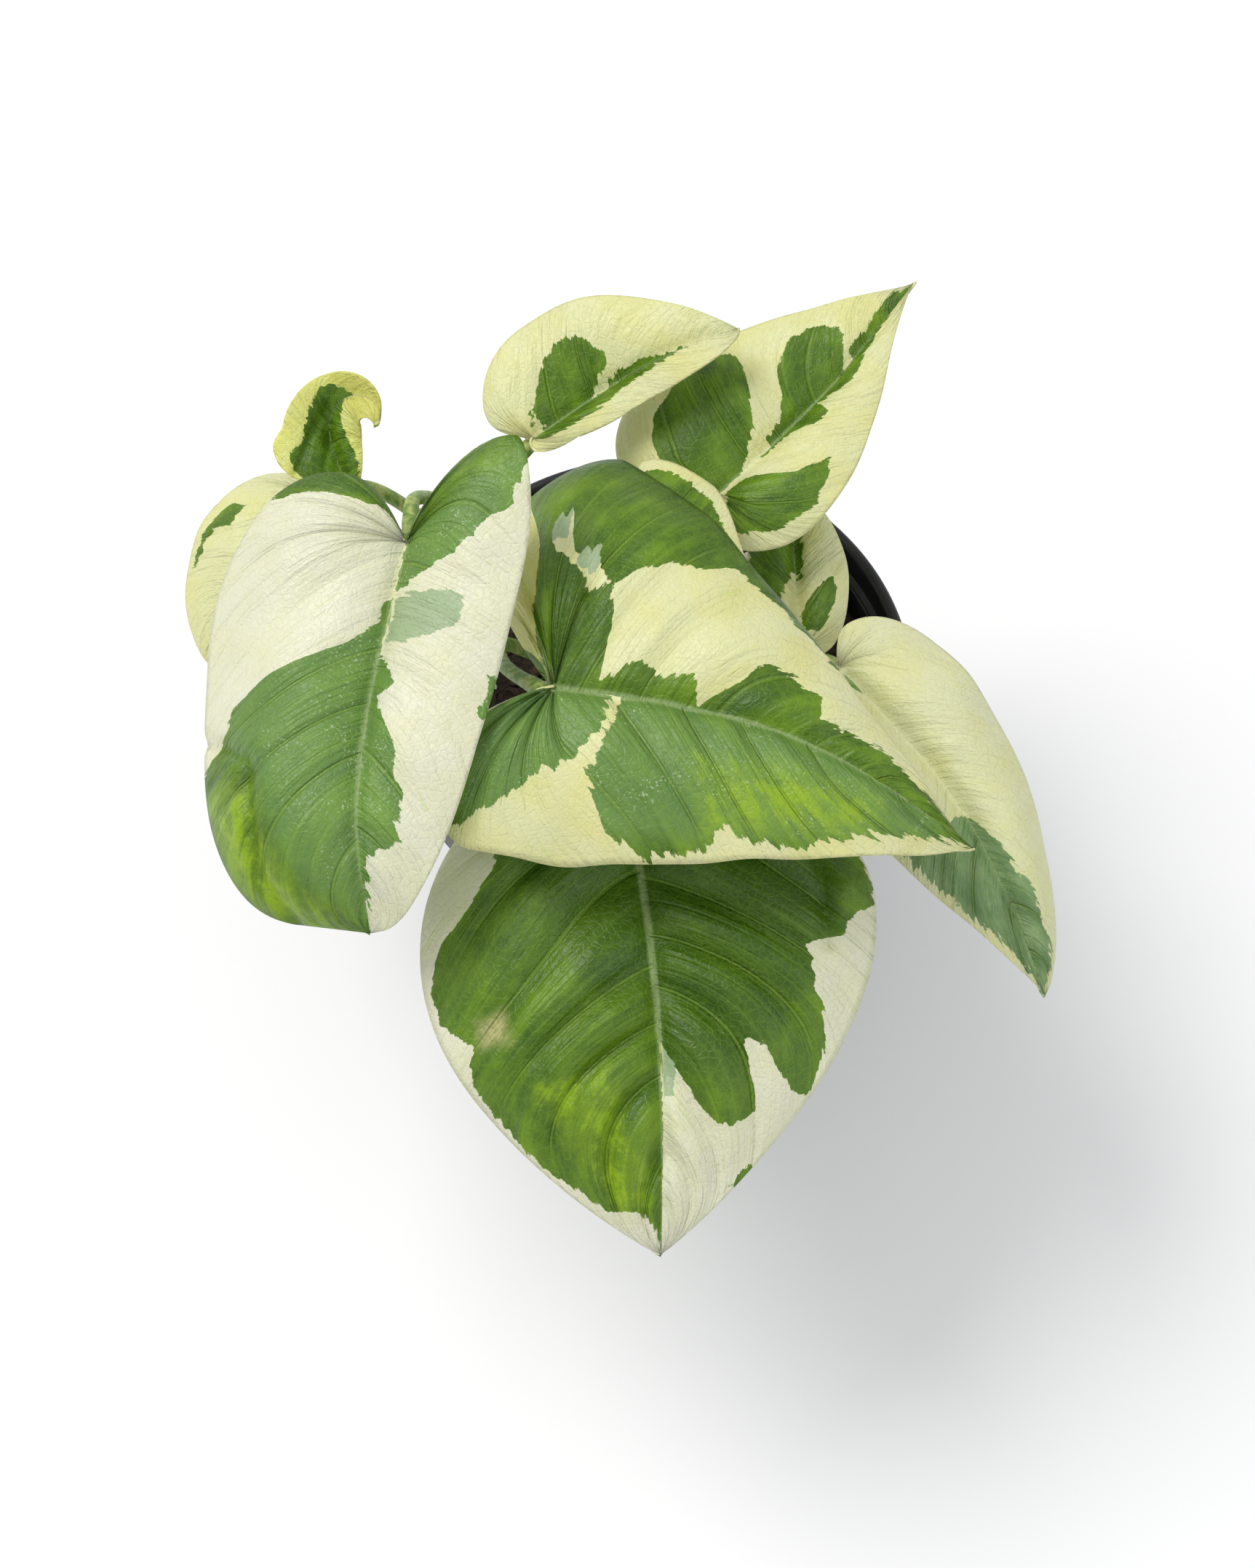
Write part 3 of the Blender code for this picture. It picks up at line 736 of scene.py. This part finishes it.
def blade_surface(name, cream, warm, green, bright, under=False):
    """Cream ground with ragged bands that follow the veins.

    Green is the leaf's own colour. Grey is half green. Lime tints the green yellower.
    The darkening band is painted shade, where folds and the leaves above shade the green, and
    painted shade also darkens the green along the grooves of the side veins. The dusty band
    gives the green a paler, dusty tint and holds painted glints: tiny pale highlight specks.
    Yellow tints the cream, and tan is a dry spot.
    """
    material, tree, where = new_material(name)
    veins = add_node(tree, "ShaderNodeUVMap", {"uv_map": "veins"}).outputs[0]
    parts = add_node(tree, "ShaderNodeSeparateXYZ", i0=veins)
    ray, ring = parts.outputs[0], maths(tree, "ABSOLUTE", parts.outputs[1])

    def vein_noise(along, out, seed, detail=3.0, rough=0.55):
        """Noise that is drawn out along the side veins."""
        place = add_node(tree, "ShaderNodeCombineXYZ", i0=maths(tree, "MULTIPLY", ray, along),
                         i1=maths(tree, "MULTIPLY", parts.outputs[1], out), i2=seed)
        return noise_at(tree, place.outputs[0], 1.0, detail, rough)

    def times(a, b):
        return maths(tree, "MULTIPLY", a, b)

    def about_zero(value, size):
        return times(maths(tree, "SUBTRACT", value, 0.5), size)

    speck = about_zero(noise_at(tree, where, 1100.0, 3.0), 1.1)

    def band(kind, teeth, seed, low, high):
        """One inside a band of colour, its edge broken into teeth, fading to zero outside."""
        depth = add_node(tree, "ShaderNodeAttribute", {"attribute_name": kind}).outputs["Fac"]
        depth = maths(tree, "ADD", depth, about_zero(vein_noise(5.0, 3.2, seed, 4.0, 0.62), teeth))
        return ramp(tree, maths(tree, "ADD", depth, speck), low, high)

    def vein_lines(period, narrow, wide):
        """One along lines at whole steps of the vein coordinate, zero beside them."""
        step = maths(tree, "FRACT", maths(tree, "ADD", times(ray, period), 0.5))
        away = maths(tree, "ABSOLUTE", maths(tree, "SUBTRACT", step, 0.5))
        return ramp(tree, away, narrow, wide, 1.0, 0.0)

    sector = vein_noise(2.2, 2.2, 4.0)
    strips = vein_noise(5.0, 1.2, 12.0)
    wrinkle = vein_noise(20.0, 3.5, 9.0, 3.0, 0.6)
    cloud = noise_at(tree, where, 110.0, 4.0)
    mottle = noise_at(tree, where, 300.0, 5.0, 0.62)
    grain = noise_at(tree, where, 1500.0, 3.0)
    net = add_node(tree, "ShaderNodeTexVoronoi", {"feature": "DISTANCE_TO_EDGE"}, Vector=where,
                   Scale=700.0)
    net_lines = ramp(tree, net.outputs[0], 0.02, 0.14, 1.0, 0.0)
    main_vein = vein_lines(1.0, 0.010, 0.050)
    vein = maths(tree, "MAXIMUM", main_vein, times(vein_lines(3.0, 0.02, 0.12), 0.35))
    vein = times(vein, ramp(tree, ring, 0.70, 1.0, 1.0, 0.1))
    midrib = ramp(tree, ring, 0.008, 0.024, 1.0, 0.0)

    ground = mix(tree, ramp(tree, cloud, 0.35, 0.70), cream, warm)
    fleck = times(ramp(tree, wrinkle, 0.56, 0.66), ramp(tree, sector, 0.50, 0.62))
    ground = mix(tree, times(fleck, 0.45), ground, (0.46, 0.58, 0.14))
    ground = mix(tree, times(vein, 0.10), ground, (0.62, 0.66, 0.30))
    ground = mix(tree, times(ramp(tree, ring, 0.90, 1.0), 0.30), ground, warm)
    tone = weighed_sum(tree, (sector, 0.60), (strips, 0.15), (mottle, 0.25))
    ground = mix(tree, times(band("yellow", 4.0, 10.0, -1.0, 1.5), 0.85), ground, (0.58, 0.57, 0.12))
    leafy = mix(tree, ramp(tree, tone, 0.33, 0.66), green, bright)
    # Painted shade: the green is darkened along the grooves of the side veins and in the darkening bands,
    # where folds and the leaves above shade it.
    vein_groove_shade = times(vein_lines(1.0, 0.02, 0.42), ramp(tree, ring, 0.70, 1.0, 0.32, 0.1))
    shaded = maths(tree, "MAXIMUM", vein_groove_shade, times(band("painted_shade", 9.0, 8.0, -4.0, 6.0), 0.62))
    leafy = mix(tree, shaded, leafy, (0.022, 0.068, 0.002))
    # The dusty band tints the green paler. Inside it are painted glints: tiny pale specks that stand for
    # highlights on the waxy skin.
    dusty_glint_band = band("dusty_glints", 6.0, 5.0, -2.0, 3.0)
    leafy = mix(tree, times(dusty_glint_band, 0.5), leafy, (0.17, 0.31, 0.095))
    glint = ramp(tree, noise_at(tree, where, 2000.0, 2.0), 0.61, 0.67)
    glint = times(glint, ramp(tree, cloud, 0.45, 0.65))
    leafy = mix(tree, times(times(glint, dusty_glint_band), 0.7), leafy, (0.48, 0.58, 0.36))
    lime = times(band("lime", 7.0, 7.0, -3.0, 4.0),
                 ramp(tree, maths(tree, "ADD", strips, mottle), 0.85, 1.15, 0.35, 1.0))
    leafy = mix(tree, times(lime, 0.8), leafy, (0.30, 0.46, 0.008))
    leafy = mix(tree, times(net_lines, 0.16), leafy, (0.17, 0.31, 0.02))
    leafy = mix(tree, times(vein, 0.30), leafy, (0.20, 0.33, 0.04))
    grey_tone = mix(tree, sector, (0.25, 0.36, 0.17), (0.42, 0.50, 0.32))
    colour = mix(tree, band("grey", 5.0, 3.0, -0.12, 0.14), ground, grey_tone)
    inside = band("green", 6.5, 1.0, -0.10, 0.12)
    colour = mix(tree, inside, colour, leafy)
    dry = times(band("tan", 6.0, 9.0, -4.0, 2.5), ramp(tree, grain, 0.25, 0.60, 0.45, 1.0))
    colour = mix(tree, times(dry, 0.8), colour, (0.52, 0.46, 0.22))
    rib_tone = mix(tree, inside, (0.70, 0.72, 0.38), (0.24, 0.34, 0.12))
    colour = mix(tree, times(midrib, 0.8), colour, rib_tone)

    sunk_vein = times(vein, ramp(tree, inside, 0.0, 1.0, 0.3, 1.5))
    relief = weighed_sum(tree, (grain, 0.5), (net_lines, -0.25), (sunk_vein, -1.0),
                         (wrinkle, 0.7), (strips, 5.0), (mottle, 1.5))
    gloss = ramp(tree, cloud, 0.25, 0.75, 0.34, 0.46)
    if under:
        colour = mix(tree, 0.45, colour, (0.50, 0.60, 0.32))
        gloss = ramp(tree, cloud, 0.25, 0.75, 0.55, 0.68)
    shader = finish_surface(tree, colour, gloss, relief, 0.00018)
    shader.inputs["Specular IOR Level"].default_value = 0.4
    shader.inputs["Subsurface Weight"].default_value = 0.12
    shader.inputs["Subsurface Radius"].default_value = (0.0012, 0.0016, 0.0005)
    shader.inputs["Subsurface Scale"].default_value = 1.0
    return material


def blade_pair(name, *colours):
    return [blade_surface(name + "_top", *colours),
            blade_surface(name + "_underside", *colours, under=True)]


DARK = (0.038, 0.105, 0.002)
MID = (0.150, 0.275, 0.005)
cream_blades = blade_pair("cream_blade", (0.67, 0.68, 0.37), (0.66, 0.65, 0.28), DARK, MID)
stalk_skin = green_skin("stalk_skin", (0.12, 0.24, 0.03), (0.40, 0.46, 0.14), 0.42, 0.60)


# The right leaf is long and grows low from the tip of the front vine, under the centre
# leaf's tip. It is cream, with one grey-green strip beyond its middle.

RIGHT = {
    "joint": (33, -15, 122), "heading": -57, "pitch": -16, "roll": -6, "split": 0.28,
    "length": 69, "sweep": -4,
    "left": (20, 16, 6, 6, 0.7, 0), "right": (12, 21, 3, 0, 1.3, 0),
    "spine": [0, 3, 5, 5, 3, 0],
    "left_edge": [0, -1, -3, -4, -3, 0], "left_bulge": [0, 3, 5, 5, 3, 0],
    "right_edge": [0, -1, -1, -1, -1, 0], "right_bulge": [0, 2, 2, 2, 1, 0],
    "stalk": ("front", 0.97, (17, -14, 113), (27, -12, 118)),
    "ragged": 0.8, "veins": 8, "quilt": 0.6, "wave": 0.4, "ripple": 0.6,
    "bands": [
        ("green", "left", [], [(64, 0), (70, 20), (75, 25), (80, 43), (85, 52), (90, 72), (95, 75),
          (100, 50)]),
        ("green", "right", [(50, 85), (55, 70), (60, 40), (64, 0), (100, 0)],
         [(50, 90), (55, 92), (70, 90), (80, 88), (90, 80), (100, 50)]),
    ],
}
grow_leaf("right", RIGHT, blade_pair("grey_blade", (0.67, 0.68, 0.41), (0.66, 0.66, 0.33),
                                     (0.13, 0.24, 0.085), (0.27, 0.38, 0.18)))


# Two small leaves lie in the shade under the centre leaf: one flat beside the pot's rim,
# and one between the centre leaf and the pointed leaf behind it.

RIGHT_UNDER = {
    "joint": (27, -6, 112), "heading": 92, "pitch": 11,
    "length": 32, "sweep": 0,
    "left": (9, 16, 2, 0, 0.65, 0), "right": (10, 14, 3, 1, 0.6, 0),
    "spine": [0, 1, 1, 0],
    "left_edge": [0, 0, 0, 0], "left_bulge": [0, 2, 2, 0],
    "right_edge": [0, -1, -1, 0], "right_bulge": [0, 2, 2, 0],
    "stalk": ("front", 0.84, (18, -20, 105), (25, -14, 109)),
    "veins": 6, "quilt": 0.5, "wave": 0.2, "ripple": 0.3,
    "bands": [
        ("green", "left", [(36, 55), (40, 45), (50, 28), (60, 8), (63, 0), (90, 0)],
         [(36, 95), (90, 95)]),
        ("green", "right", [], [(60, 10), (70, 17), (80, 20), (90, 30)]),
        ("green", "right", [(33, 30), (36, 15), (40, 5), (44, 5), (48, 20), (52, 50)],
         [(33, 45), (36, 60), (40, 70), (46, 72), (52, 66)]),
    ],
}
grow_leaf("right_under", RIGHT_UNDER, cream_blades)

CENTRE_UNDER = {
    "joint": (0, 5, 136), "heading": -42, "pitch": -4,
    "length": 28, "sweep": 0,
    "left": (14, 2, 9, 11, 1.5, 0.15), "right": (12, 9, 3, 1, 0.8, 0),
    "spine": [0, 1, 0],
    "left_edge": [0, 0, 0, 0], "left_bulge": [0, 1, 1, 0],
    "right_edge": [0, 0, 0, 0], "right_bulge": [0, 1, 1, 0],
    "stalk": ("back", 0.84, (-6, 10, 118), (-4, 8, 129)),
    "veins": 7, "quilt": 0.3, "wave": 0.1, "ripple": 0.2,
    "bands": [
        ("green", "left", [], [(10, 90), (15, 100), (20, 98), (25, 80), (40, 85), (60, 75), (70, 60),
          (80, 30)]),
    ],
}
grow_leaf("centre_under", CENTRE_UNDER, cream_blades)


# The pointed leaf stands up at the back on the right: cream, with broad green tongues that
# run out from the midrib between the veins.

BACK_RIGHT = {
    "joint": (12, 18, 128), "heading": 46, "pitch": 14, "split": 0.34,
    "length": 54, "sweep": 1,
    "left": (25, 6, 14, 9, 1.1, 0.05), "right": (18, 8, 8, 6, 1.35, 0),
    "spine": [0, -1, -2, -1, 0],
    "left_edge": [0, 0, 2, 3, 2, 0], "left_bulge": [0, 3, 4, 3, 1, 0],
    "right_edge": [0, 0, 1, 2, 1, 0], "right_bulge": [0, 3, 3, 2, 1, 0],
    "stalk": ("back", 0.97, (6, 13.5, 118), (9, 15, 124)),
    "lean": 0.12, "veins": 8, "quilt": 0.7, "wave": 0.3, "waves": 5, "ripple": 0.4,
    "bands": [
        ("green", "left", [(20, 0), (40, 0), (43, 3), (50, 16), (55, 36), (58.5, 60)],
         [(20, 20), (25, 45), (30, 56), (35, 68), (40, 77), (50, 83), (55, 88), (58.5, 78)]),
        ("green", "left", [(50, 0), (74, 0), (76, 8), (78, 20), (79.5, 35)],
         [(50, 6), (55, 7), (60, 21), (63, 42), (70, 63), (75, 70), (78, 66), (79.5, 50)]),
        ("green", "left", [], [(78, 10), (85, 20), (90, 35), (95, 65), (100, 60)]),
        # Painted shade: darker green inside the first tongue on the left.
        ("painted_shade", "left", [(30, 25), (50, 25)], [(30, 50), (50, 65)]),
        ("green", "right", [(12, 60), (17, 30), (25, 15), (38, 6), (42, 25), (45, 48), (51, 70)],
         [(12, 70), (15, 80), (20, 74), (30, 82), (40, 87), (45, 84), (51, 72)]),
        ("green", "right", [], [(47, 2), (55, 8), (58, 22), (60, 31), (63, 30), (64.5, 8), (67, 12),
          (75, 36), (80, 20), (90, 4)]),
    ],
}
grow_leaf("back_right", BACK_RIGHT, cream_blades)


# The back leaf is narrow and cupped, and its tip reaches over the pointed leaf's edge. It
# is cream, with one green patch and a green streak along the midrib.

BACK = {
    "joint": (-22, 26, 134), "heading": 22, "pitch": 18, "roll": -8, "split": 0.26,
    "length": 42, "sweep": -3,
    "left": (20, 13, 7, 6, 0.85, 0), "right": (5, 8, 2, 1, 0.4, 0),
    "spine": [0, -2, -2, -1, 0],
    "left_edge": [0, 2, 4, 4, 2, 0], "left_bulge": [0, 2, 2, 2, 1, 0],
    "right_edge": [0, 2, 3, 3, 1, 0], "right_bulge": [0, 1, 1, 1, 0, 0],
    "stalk": ("back", 0.66, (-13, 15, 111), (-25, 20, 125), (-26, 22.5, 130)),
    "ragged": 0.7, "lean": 0.12, "veins": 7, "quilt": 0.5, "wave": 0.3, "ripple": 0.4,
    "bands": [
        ("green", "left", [(30, 0), (48, 0), (52, 8), (58.5, 22)],
         [(30, 20), (38, 40), (43, 55), (48, 62), (53, 60), (58.5, 30)]),
        ("green", "left", [], [(55, 6), (65, 10), (75, 8), (82, 2)]),
        ("green", "right", [], [(20, 30), (30, 45), (50, 40), (70, 15), (83, 0)]),
    ],
}
grow_leaf("back", BACK, cream_blades)


# The young leaf at the end of the left vine is still half rolled, so it is soft and bright,
# with creases along it, and yellow towards the tip, which hooks over.

YOUNG = {
    "joint": (-55, 15, 136), "heading": 92, "pitch": 30, "split": 0.20,
    "length": 20, "sweep": -3, "curl": (3.0, 10.0),
    "left": (13, 7, 5, 0, 1.5, 0.08), "right": (3, 6, 2, 0, 0.7, 0),
    "spine": [0, -1, 0, 3, 6, 7],
    "left_edge": [0, 2, 3, 2, 0], "left_bulge": [0, 1, 1, 0, 0],
    "right_edge": [0, 2, 2, 0, 0], "right_bulge": [0, 1, 1, 0, 0],
    "stalk": ("left", 0.97, (-51, 12, 126), (-55, 10.5, 131)),
    "ragged": 0.5, "lean": 0.08, "veins": 6, "quilt": 0.3, "wave": 0.2, "waves": 3, "ripple": 0.3,
    "creases": [([(-9, 2), (-6, 9), (-3, 14)], 0.9, 0.8), ([(-4, 3), (-3, 9)], 0.5, 0.6)],
    "bands": [
        ("green", "left", [], [(10, 70), (25, 80), (30, 72), (40, 55), (50, 52), (60, 62), (66, 70),
          (74, 10)]),
        ("green", "right", [], [(20, 90), (40, 80), (55, 50), (70, 0)]),
        # Painted shade: darker green inside the half-rolled side.
        ("painted_shade", "left", [(10, 30), (60, 30)], [(10, 80), (60, 60)]),
        ("yellow", "left", [], [(68, 100), (100, 100)]),
        ("yellow", "right", [], [(68, 100), (100, 100)]),
    ],
}
young_blades = blade_pair("young_blade", (0.67, 0.69, 0.25), (0.66, 0.66, 0.16), DARK,
                          (0.14, 0.27, 0.006))
grow_leaf("young", YOUNG, young_blades)


# A small leaf hangs mostly hidden under the drooping left leaf: only its far margin, with a
# short green strip, comes out from under it.

LEFT_UNDER = {
    "joint": (-61, 16, 128), "heading": -127, "pitch": -21, "roll": -4,
    "length": 36, "sweep": 1,
    "left": (11, 16, 3, 0, 0.6, 0), "right": (18, 13, 5, 2, 0.6, 0),
    "spine": [0, 2, 2, 0],
    "left_edge": [0, -1, -1, 0], "left_bulge": [0, 1, 1, 0],
    "right_edge": [0, -1, -2, 0], "right_bulge": [0, 2, 2, 0],
    "stalk": ("left", 0.82, (-49, 21, 122), (-56, 20, 127)),
    "veins": 6, "quilt": 0.4, "wave": 0.2, "ripple": 0.3,
    "bands": [
        ("green", "right", [(42, 62), (50, 60), (52, 78), (66, 82)],
         [(42, 80), (50, 86), (60, 90), (66, 90)]),
    ],
}
grow_leaf("left_under", LEFT_UNDER, cream_blades)


# The front leaf is the longest and hangs over the rim. It is mostly green, with deep side
# veins, a ragged cream tongue on each side and a dry tan spot.

FRONT = {
    "joint": (-4, -46, 124), "heading": -86, "pitch": -18,
    "length": 74, "sweep": -2,
    "left": (41, 17, 18, 5, 0.9, 0), "right": (38, 23, 15, 7, 0.85, 0),
    "spine": [0, 3, 4.5, 4, 2, 0],
    "left_edge": [0, -1, -1, -3, -3, -3, -2, 0], "left_bulge": [0, 3, 5, 5, 4, 3, 1, 0],
    "right_edge": [0, -1, -2, -4, -4, -3, -2, 0], "right_bulge": [0, 3, 5, 5, 5, 4, 2, 0],
    "stalk": ("front", 0.72, (4, -22, 108), (0, -35, 119)),
    "ragged": 0.55, "lean": 0.22, "puff": 0.8, "veins": 9, "quilt": 3.2, "wave": 0.6, "waves": 5,
    "ripple": 0.8,
    "bumps": [(-37, 14, 4.5, 2.4)],
    "creases": [([(-28, 4), (-31.5, 12), (-32, 24)], 2.0, 1.2)],
    "bands": [
        ("green", "right", [], [(5, 90), (30, 70), (35, 70), (40, 77), (45, 91), (50, 95.5), (55, 97),
          (60, 87), (65, 96), (80, 96), (90, 86), (92, 40), (100, 10)]),
        ("green", "left", [], [(0, 90), (30, 97), (43, 100), (45, 88), (48, 86), (49, 69), (55, 75.5),
          (60, 85), (64.5, 93)]),
        ("green", "left", [(64, 0), (66, 0), (70, 10), (75, 25), (77.5, 40)],
         [(64, 42), (70, 58), (75, 72), (77.5, 60)]),
        ("green", "left", [(64, 55), (66, 63), (71, 85)], [(64, 93), (70, 97), (71, 95)]),
        ("green", "left", [(83, 93), (87, 93)], [(83, 100), (87, 100)]),
        ("grey", "left", [], [(64, 10), (75, 10)]),
        # Painted shadow: darker green near the stalk, where the centre leaf above shades this leaf.
        ("painted_shade", "left", [], [(0, 100), (30, 100), (45, 85), (60, 70), (72, 60)]),
        ("painted_shade", "right", [], [(0, 100), (20, 90), (40, 50), (60, 25)]),
        ("lime", "right", [(68, 30), (92, 20)], [(68, 70), (92, 70)]),
        ("tan", "right", [(57, 70), (60, 71)], [(57, 79), (60, 80)]),
    ],
}
white_blades = blade_pair("white_blade", (0.69, 0.69, 0.53), (0.68, 0.68, 0.46), DARK, MID)
grow_leaf("front", FRONT, white_blades)


# The centre leaf lies over its neighbours, its tip to the right. Its rear lobe is puffed
# up, and it carries the largest dark patch, with grey and cream islands in it.

CENTRE = {
    "joint": (-17, -32, 147), "heading": -19, "pitch": -9, "roll": 5, "split": 0.46,
    "length": 75, "sweep": -5,
    "left": (51, -4, 32, 19, 1.2, 0.2), "right": (28, -4, 15, 13, 0.9, 0.08),
    "spine": [0, 2, 4, 5, 3, 0],
    "left_edge": [0, -6, -11, -6, 1, 1, -2, -2, 0],
    "left_bulge": [0, 5, 9, 8, 6, 5, 3, 1, 0],
    "right_edge": [0, -5, -11, -10, -6, -4, -2, 0], "right_bulge": [0, 2, 4, 5, 5, 3, 1, 0],
    "stalk": ("left", 0.45, (-27, -8, 118), (-26, -22, 136)),
    "ragged": 1, "lean": 0.12, "veins": 11, "quilt": 1.5, "wave": 0.5, "waves": 6, "ripple": 0.7,
    "bumps": [(-14, -2, 6, 1.3), (-35, 5, 9, 1.5)],
    "creases": [([(-33, -10), (-27, -7), (-19, -1), (-15, 1.5), (-7, 2)], 1.3, 1.5)],
    "bands": [
        ("green", "left", [], [(0, 100), (6, 100), (7, 30), (15, 36), (25, 44), (28, 52), (29.5, 62),
          (30, 100), (31.5, 100), (32, 56), (34, 50), (38, 41), (43, 36), (47, 38), (49, 34), (50, 20),
          (50.5, 5), (52, 5), (53, 13), (57, 12), (62, 14), (63, 3), (66, 18), (68, 38), (76, 50),
          (77, 22), (85, 50), (90, 60), (100, 100)]),
        ("green", "left", [(31, 60), (32, 60), (33.5, 68), (34.5, 74), (35.3, 67), (36.5, 73), (37, 55),
          (38, 46), (40.5, 51), (41.2, 46), (42.5, 53), (45.5, 44), (47.5, 41), (50, 50), (53, 62),
          (58, 72), (60, 84), (70, 95), (76, 97)],
         [(31, 100), (76, 100)]),
        ("grey", "left", [(32, 56), (36.5, 56)], [(32, 62), (34.5, 76), (36.5, 76)]),
        ("grey", "left", [(39, 41), (45, 41)], [(39, 50), (42.5, 55), (45, 46)]),
        ("green", "right", [], [(0, 35), (10, 35), (13, 60), (15, 100), (27, 100), (30, 86), (35, 68),
          (40, 54), (46, 50), (50, 31), (52.5, 12)]),
        ("green", "right", [(48.5, 50), (50, 42), (52.5, 22), (54, 0), (100, 0)],
         [(48.5, 62), (50, 86), (55, 97), (63, 93), (65, 81), (67, 90), (75, 93), (85, 78), (90, 72),
          (100, 50)]),
        ("lime", "right", [(62, 40), (86, 30)], [(62, 85), (86, 80)]),
        ("yellow", "left", [], [(0, 100), (30, 100)]),
        # Painted shade: darker green in the hollow beside the puffed rear lobe, along that lobe's far
        # margin and near the joint.
        ("painted_shade", "left", [], [(30, 55), (50, 50), (50, 0)]),
        ("painted_shade", "left", [(30, 86), (76, 82)], [(30, 100), (76, 100)]),
        ("painted_shade", "right", [], [(0, 50), (25, 50), (30, 10)]),
        # Painted glints, with a dusty tint, over the right half.
        ("dusty_glints", "right", [], [(0, 90), (95, 90)]),
    ],
}
grow_leaf("centre", CENTRE, cream_blades)


# The left leaf droops from the highest stalk. It is the whitest of all, with a green half
# that is folded and rolled down at the end.

LEFT = {
    "joint": (-42, -8, 154), "heading": -95, "pitch": -20, "roll": -6, "split": 0.36,
    "length": 66, "sweep": 3,
    "left": (22, -2, 18, 18, 0.5, 0.08), "right": (34, 22, 12, 11, 0.22, 0),
    "spine": [0, 1, 4, 7, 7, 0],
    "left_edge": [0, 4, 6, 5, 3, 0, -2, 0], "left_bulge": [0, 2, 3, 3, 3, 2, 1, 0],
    "right_edge": [0, 2, 0, -4, -7, -9, -8, 0], "right_bulge": [0, 3, 5, 6, 8, 8, 5, 0],
    "stalk": ("left", 0.62, (-36, 13, 128), (-41.5, 5, 147)),
    "ragged": 1, "lean": 0.12, "veins": 9, "quilt": 0.8, "wave": 0.4, "waves": 5, "ripple": 0.7,
    "bumps": [(27, 50, 7, 1.8)],
    "creases": [([(33, 36), (22, 39), (20, 50), (18.5, 58), (13, 65)], 1.9, 1.3)],
    "bands": [
        ("green", "right", [(0, 10), (5, 25), (10, 45), (15, 52), (20, 72), (24, 95)],
         [(0, 100), (24, 100)]),
        ("green", "right", [], [(46, 3), (50, 5), (52.5, 14), (54, 40), (55, 56), (57.5, 76), (60, 79),
          (62.5, 92), (64, 100), (100, 100)]),
        # Painted shade: darker green inside the fold near the joint.
        ("painted_shade", "right", [(0, 40), (24, 80)], [(0, 100), (24, 100)]),
        ("lime", "right", [(68, 66), (95, 60)], [(68, 95), (95, 95)]),
        # Painted glints, with a dusty tint, on the green of both halves.
        ("dusty_glints", "right", [], [(46, 80), (64, 80), (68, 60), (100, 50)]),
        ("dusty_glints", "left", [], [(25, 100), (100, 100)]),
        ("green", "left", [], [(0, 90), (20, 100), (27, 100), (30, 92), (33, 90), (35, 68), (38, 55),
          (40, 42), (43, 15), (45, 6)]),
        ("grey", "left", [(45.5, 3), (53, 3)], [(45.5, 45), (47, 62), (51, 62), (53, 40)]),
        ("green", "left", [], [(55, 2), (57.5, 12), (60, 23.5), (62, 8), (65, 15), (70, 32), (75, 38.5),
          (80, 48), (85, 50), (86.5, 20), (95, 5)]),
        ("green", "left", [(58.5, 95), (64, 95)], [(58.5, 100), (64, 100)]),
    ],
}
grow_leaf("left", LEFT, white_blades)
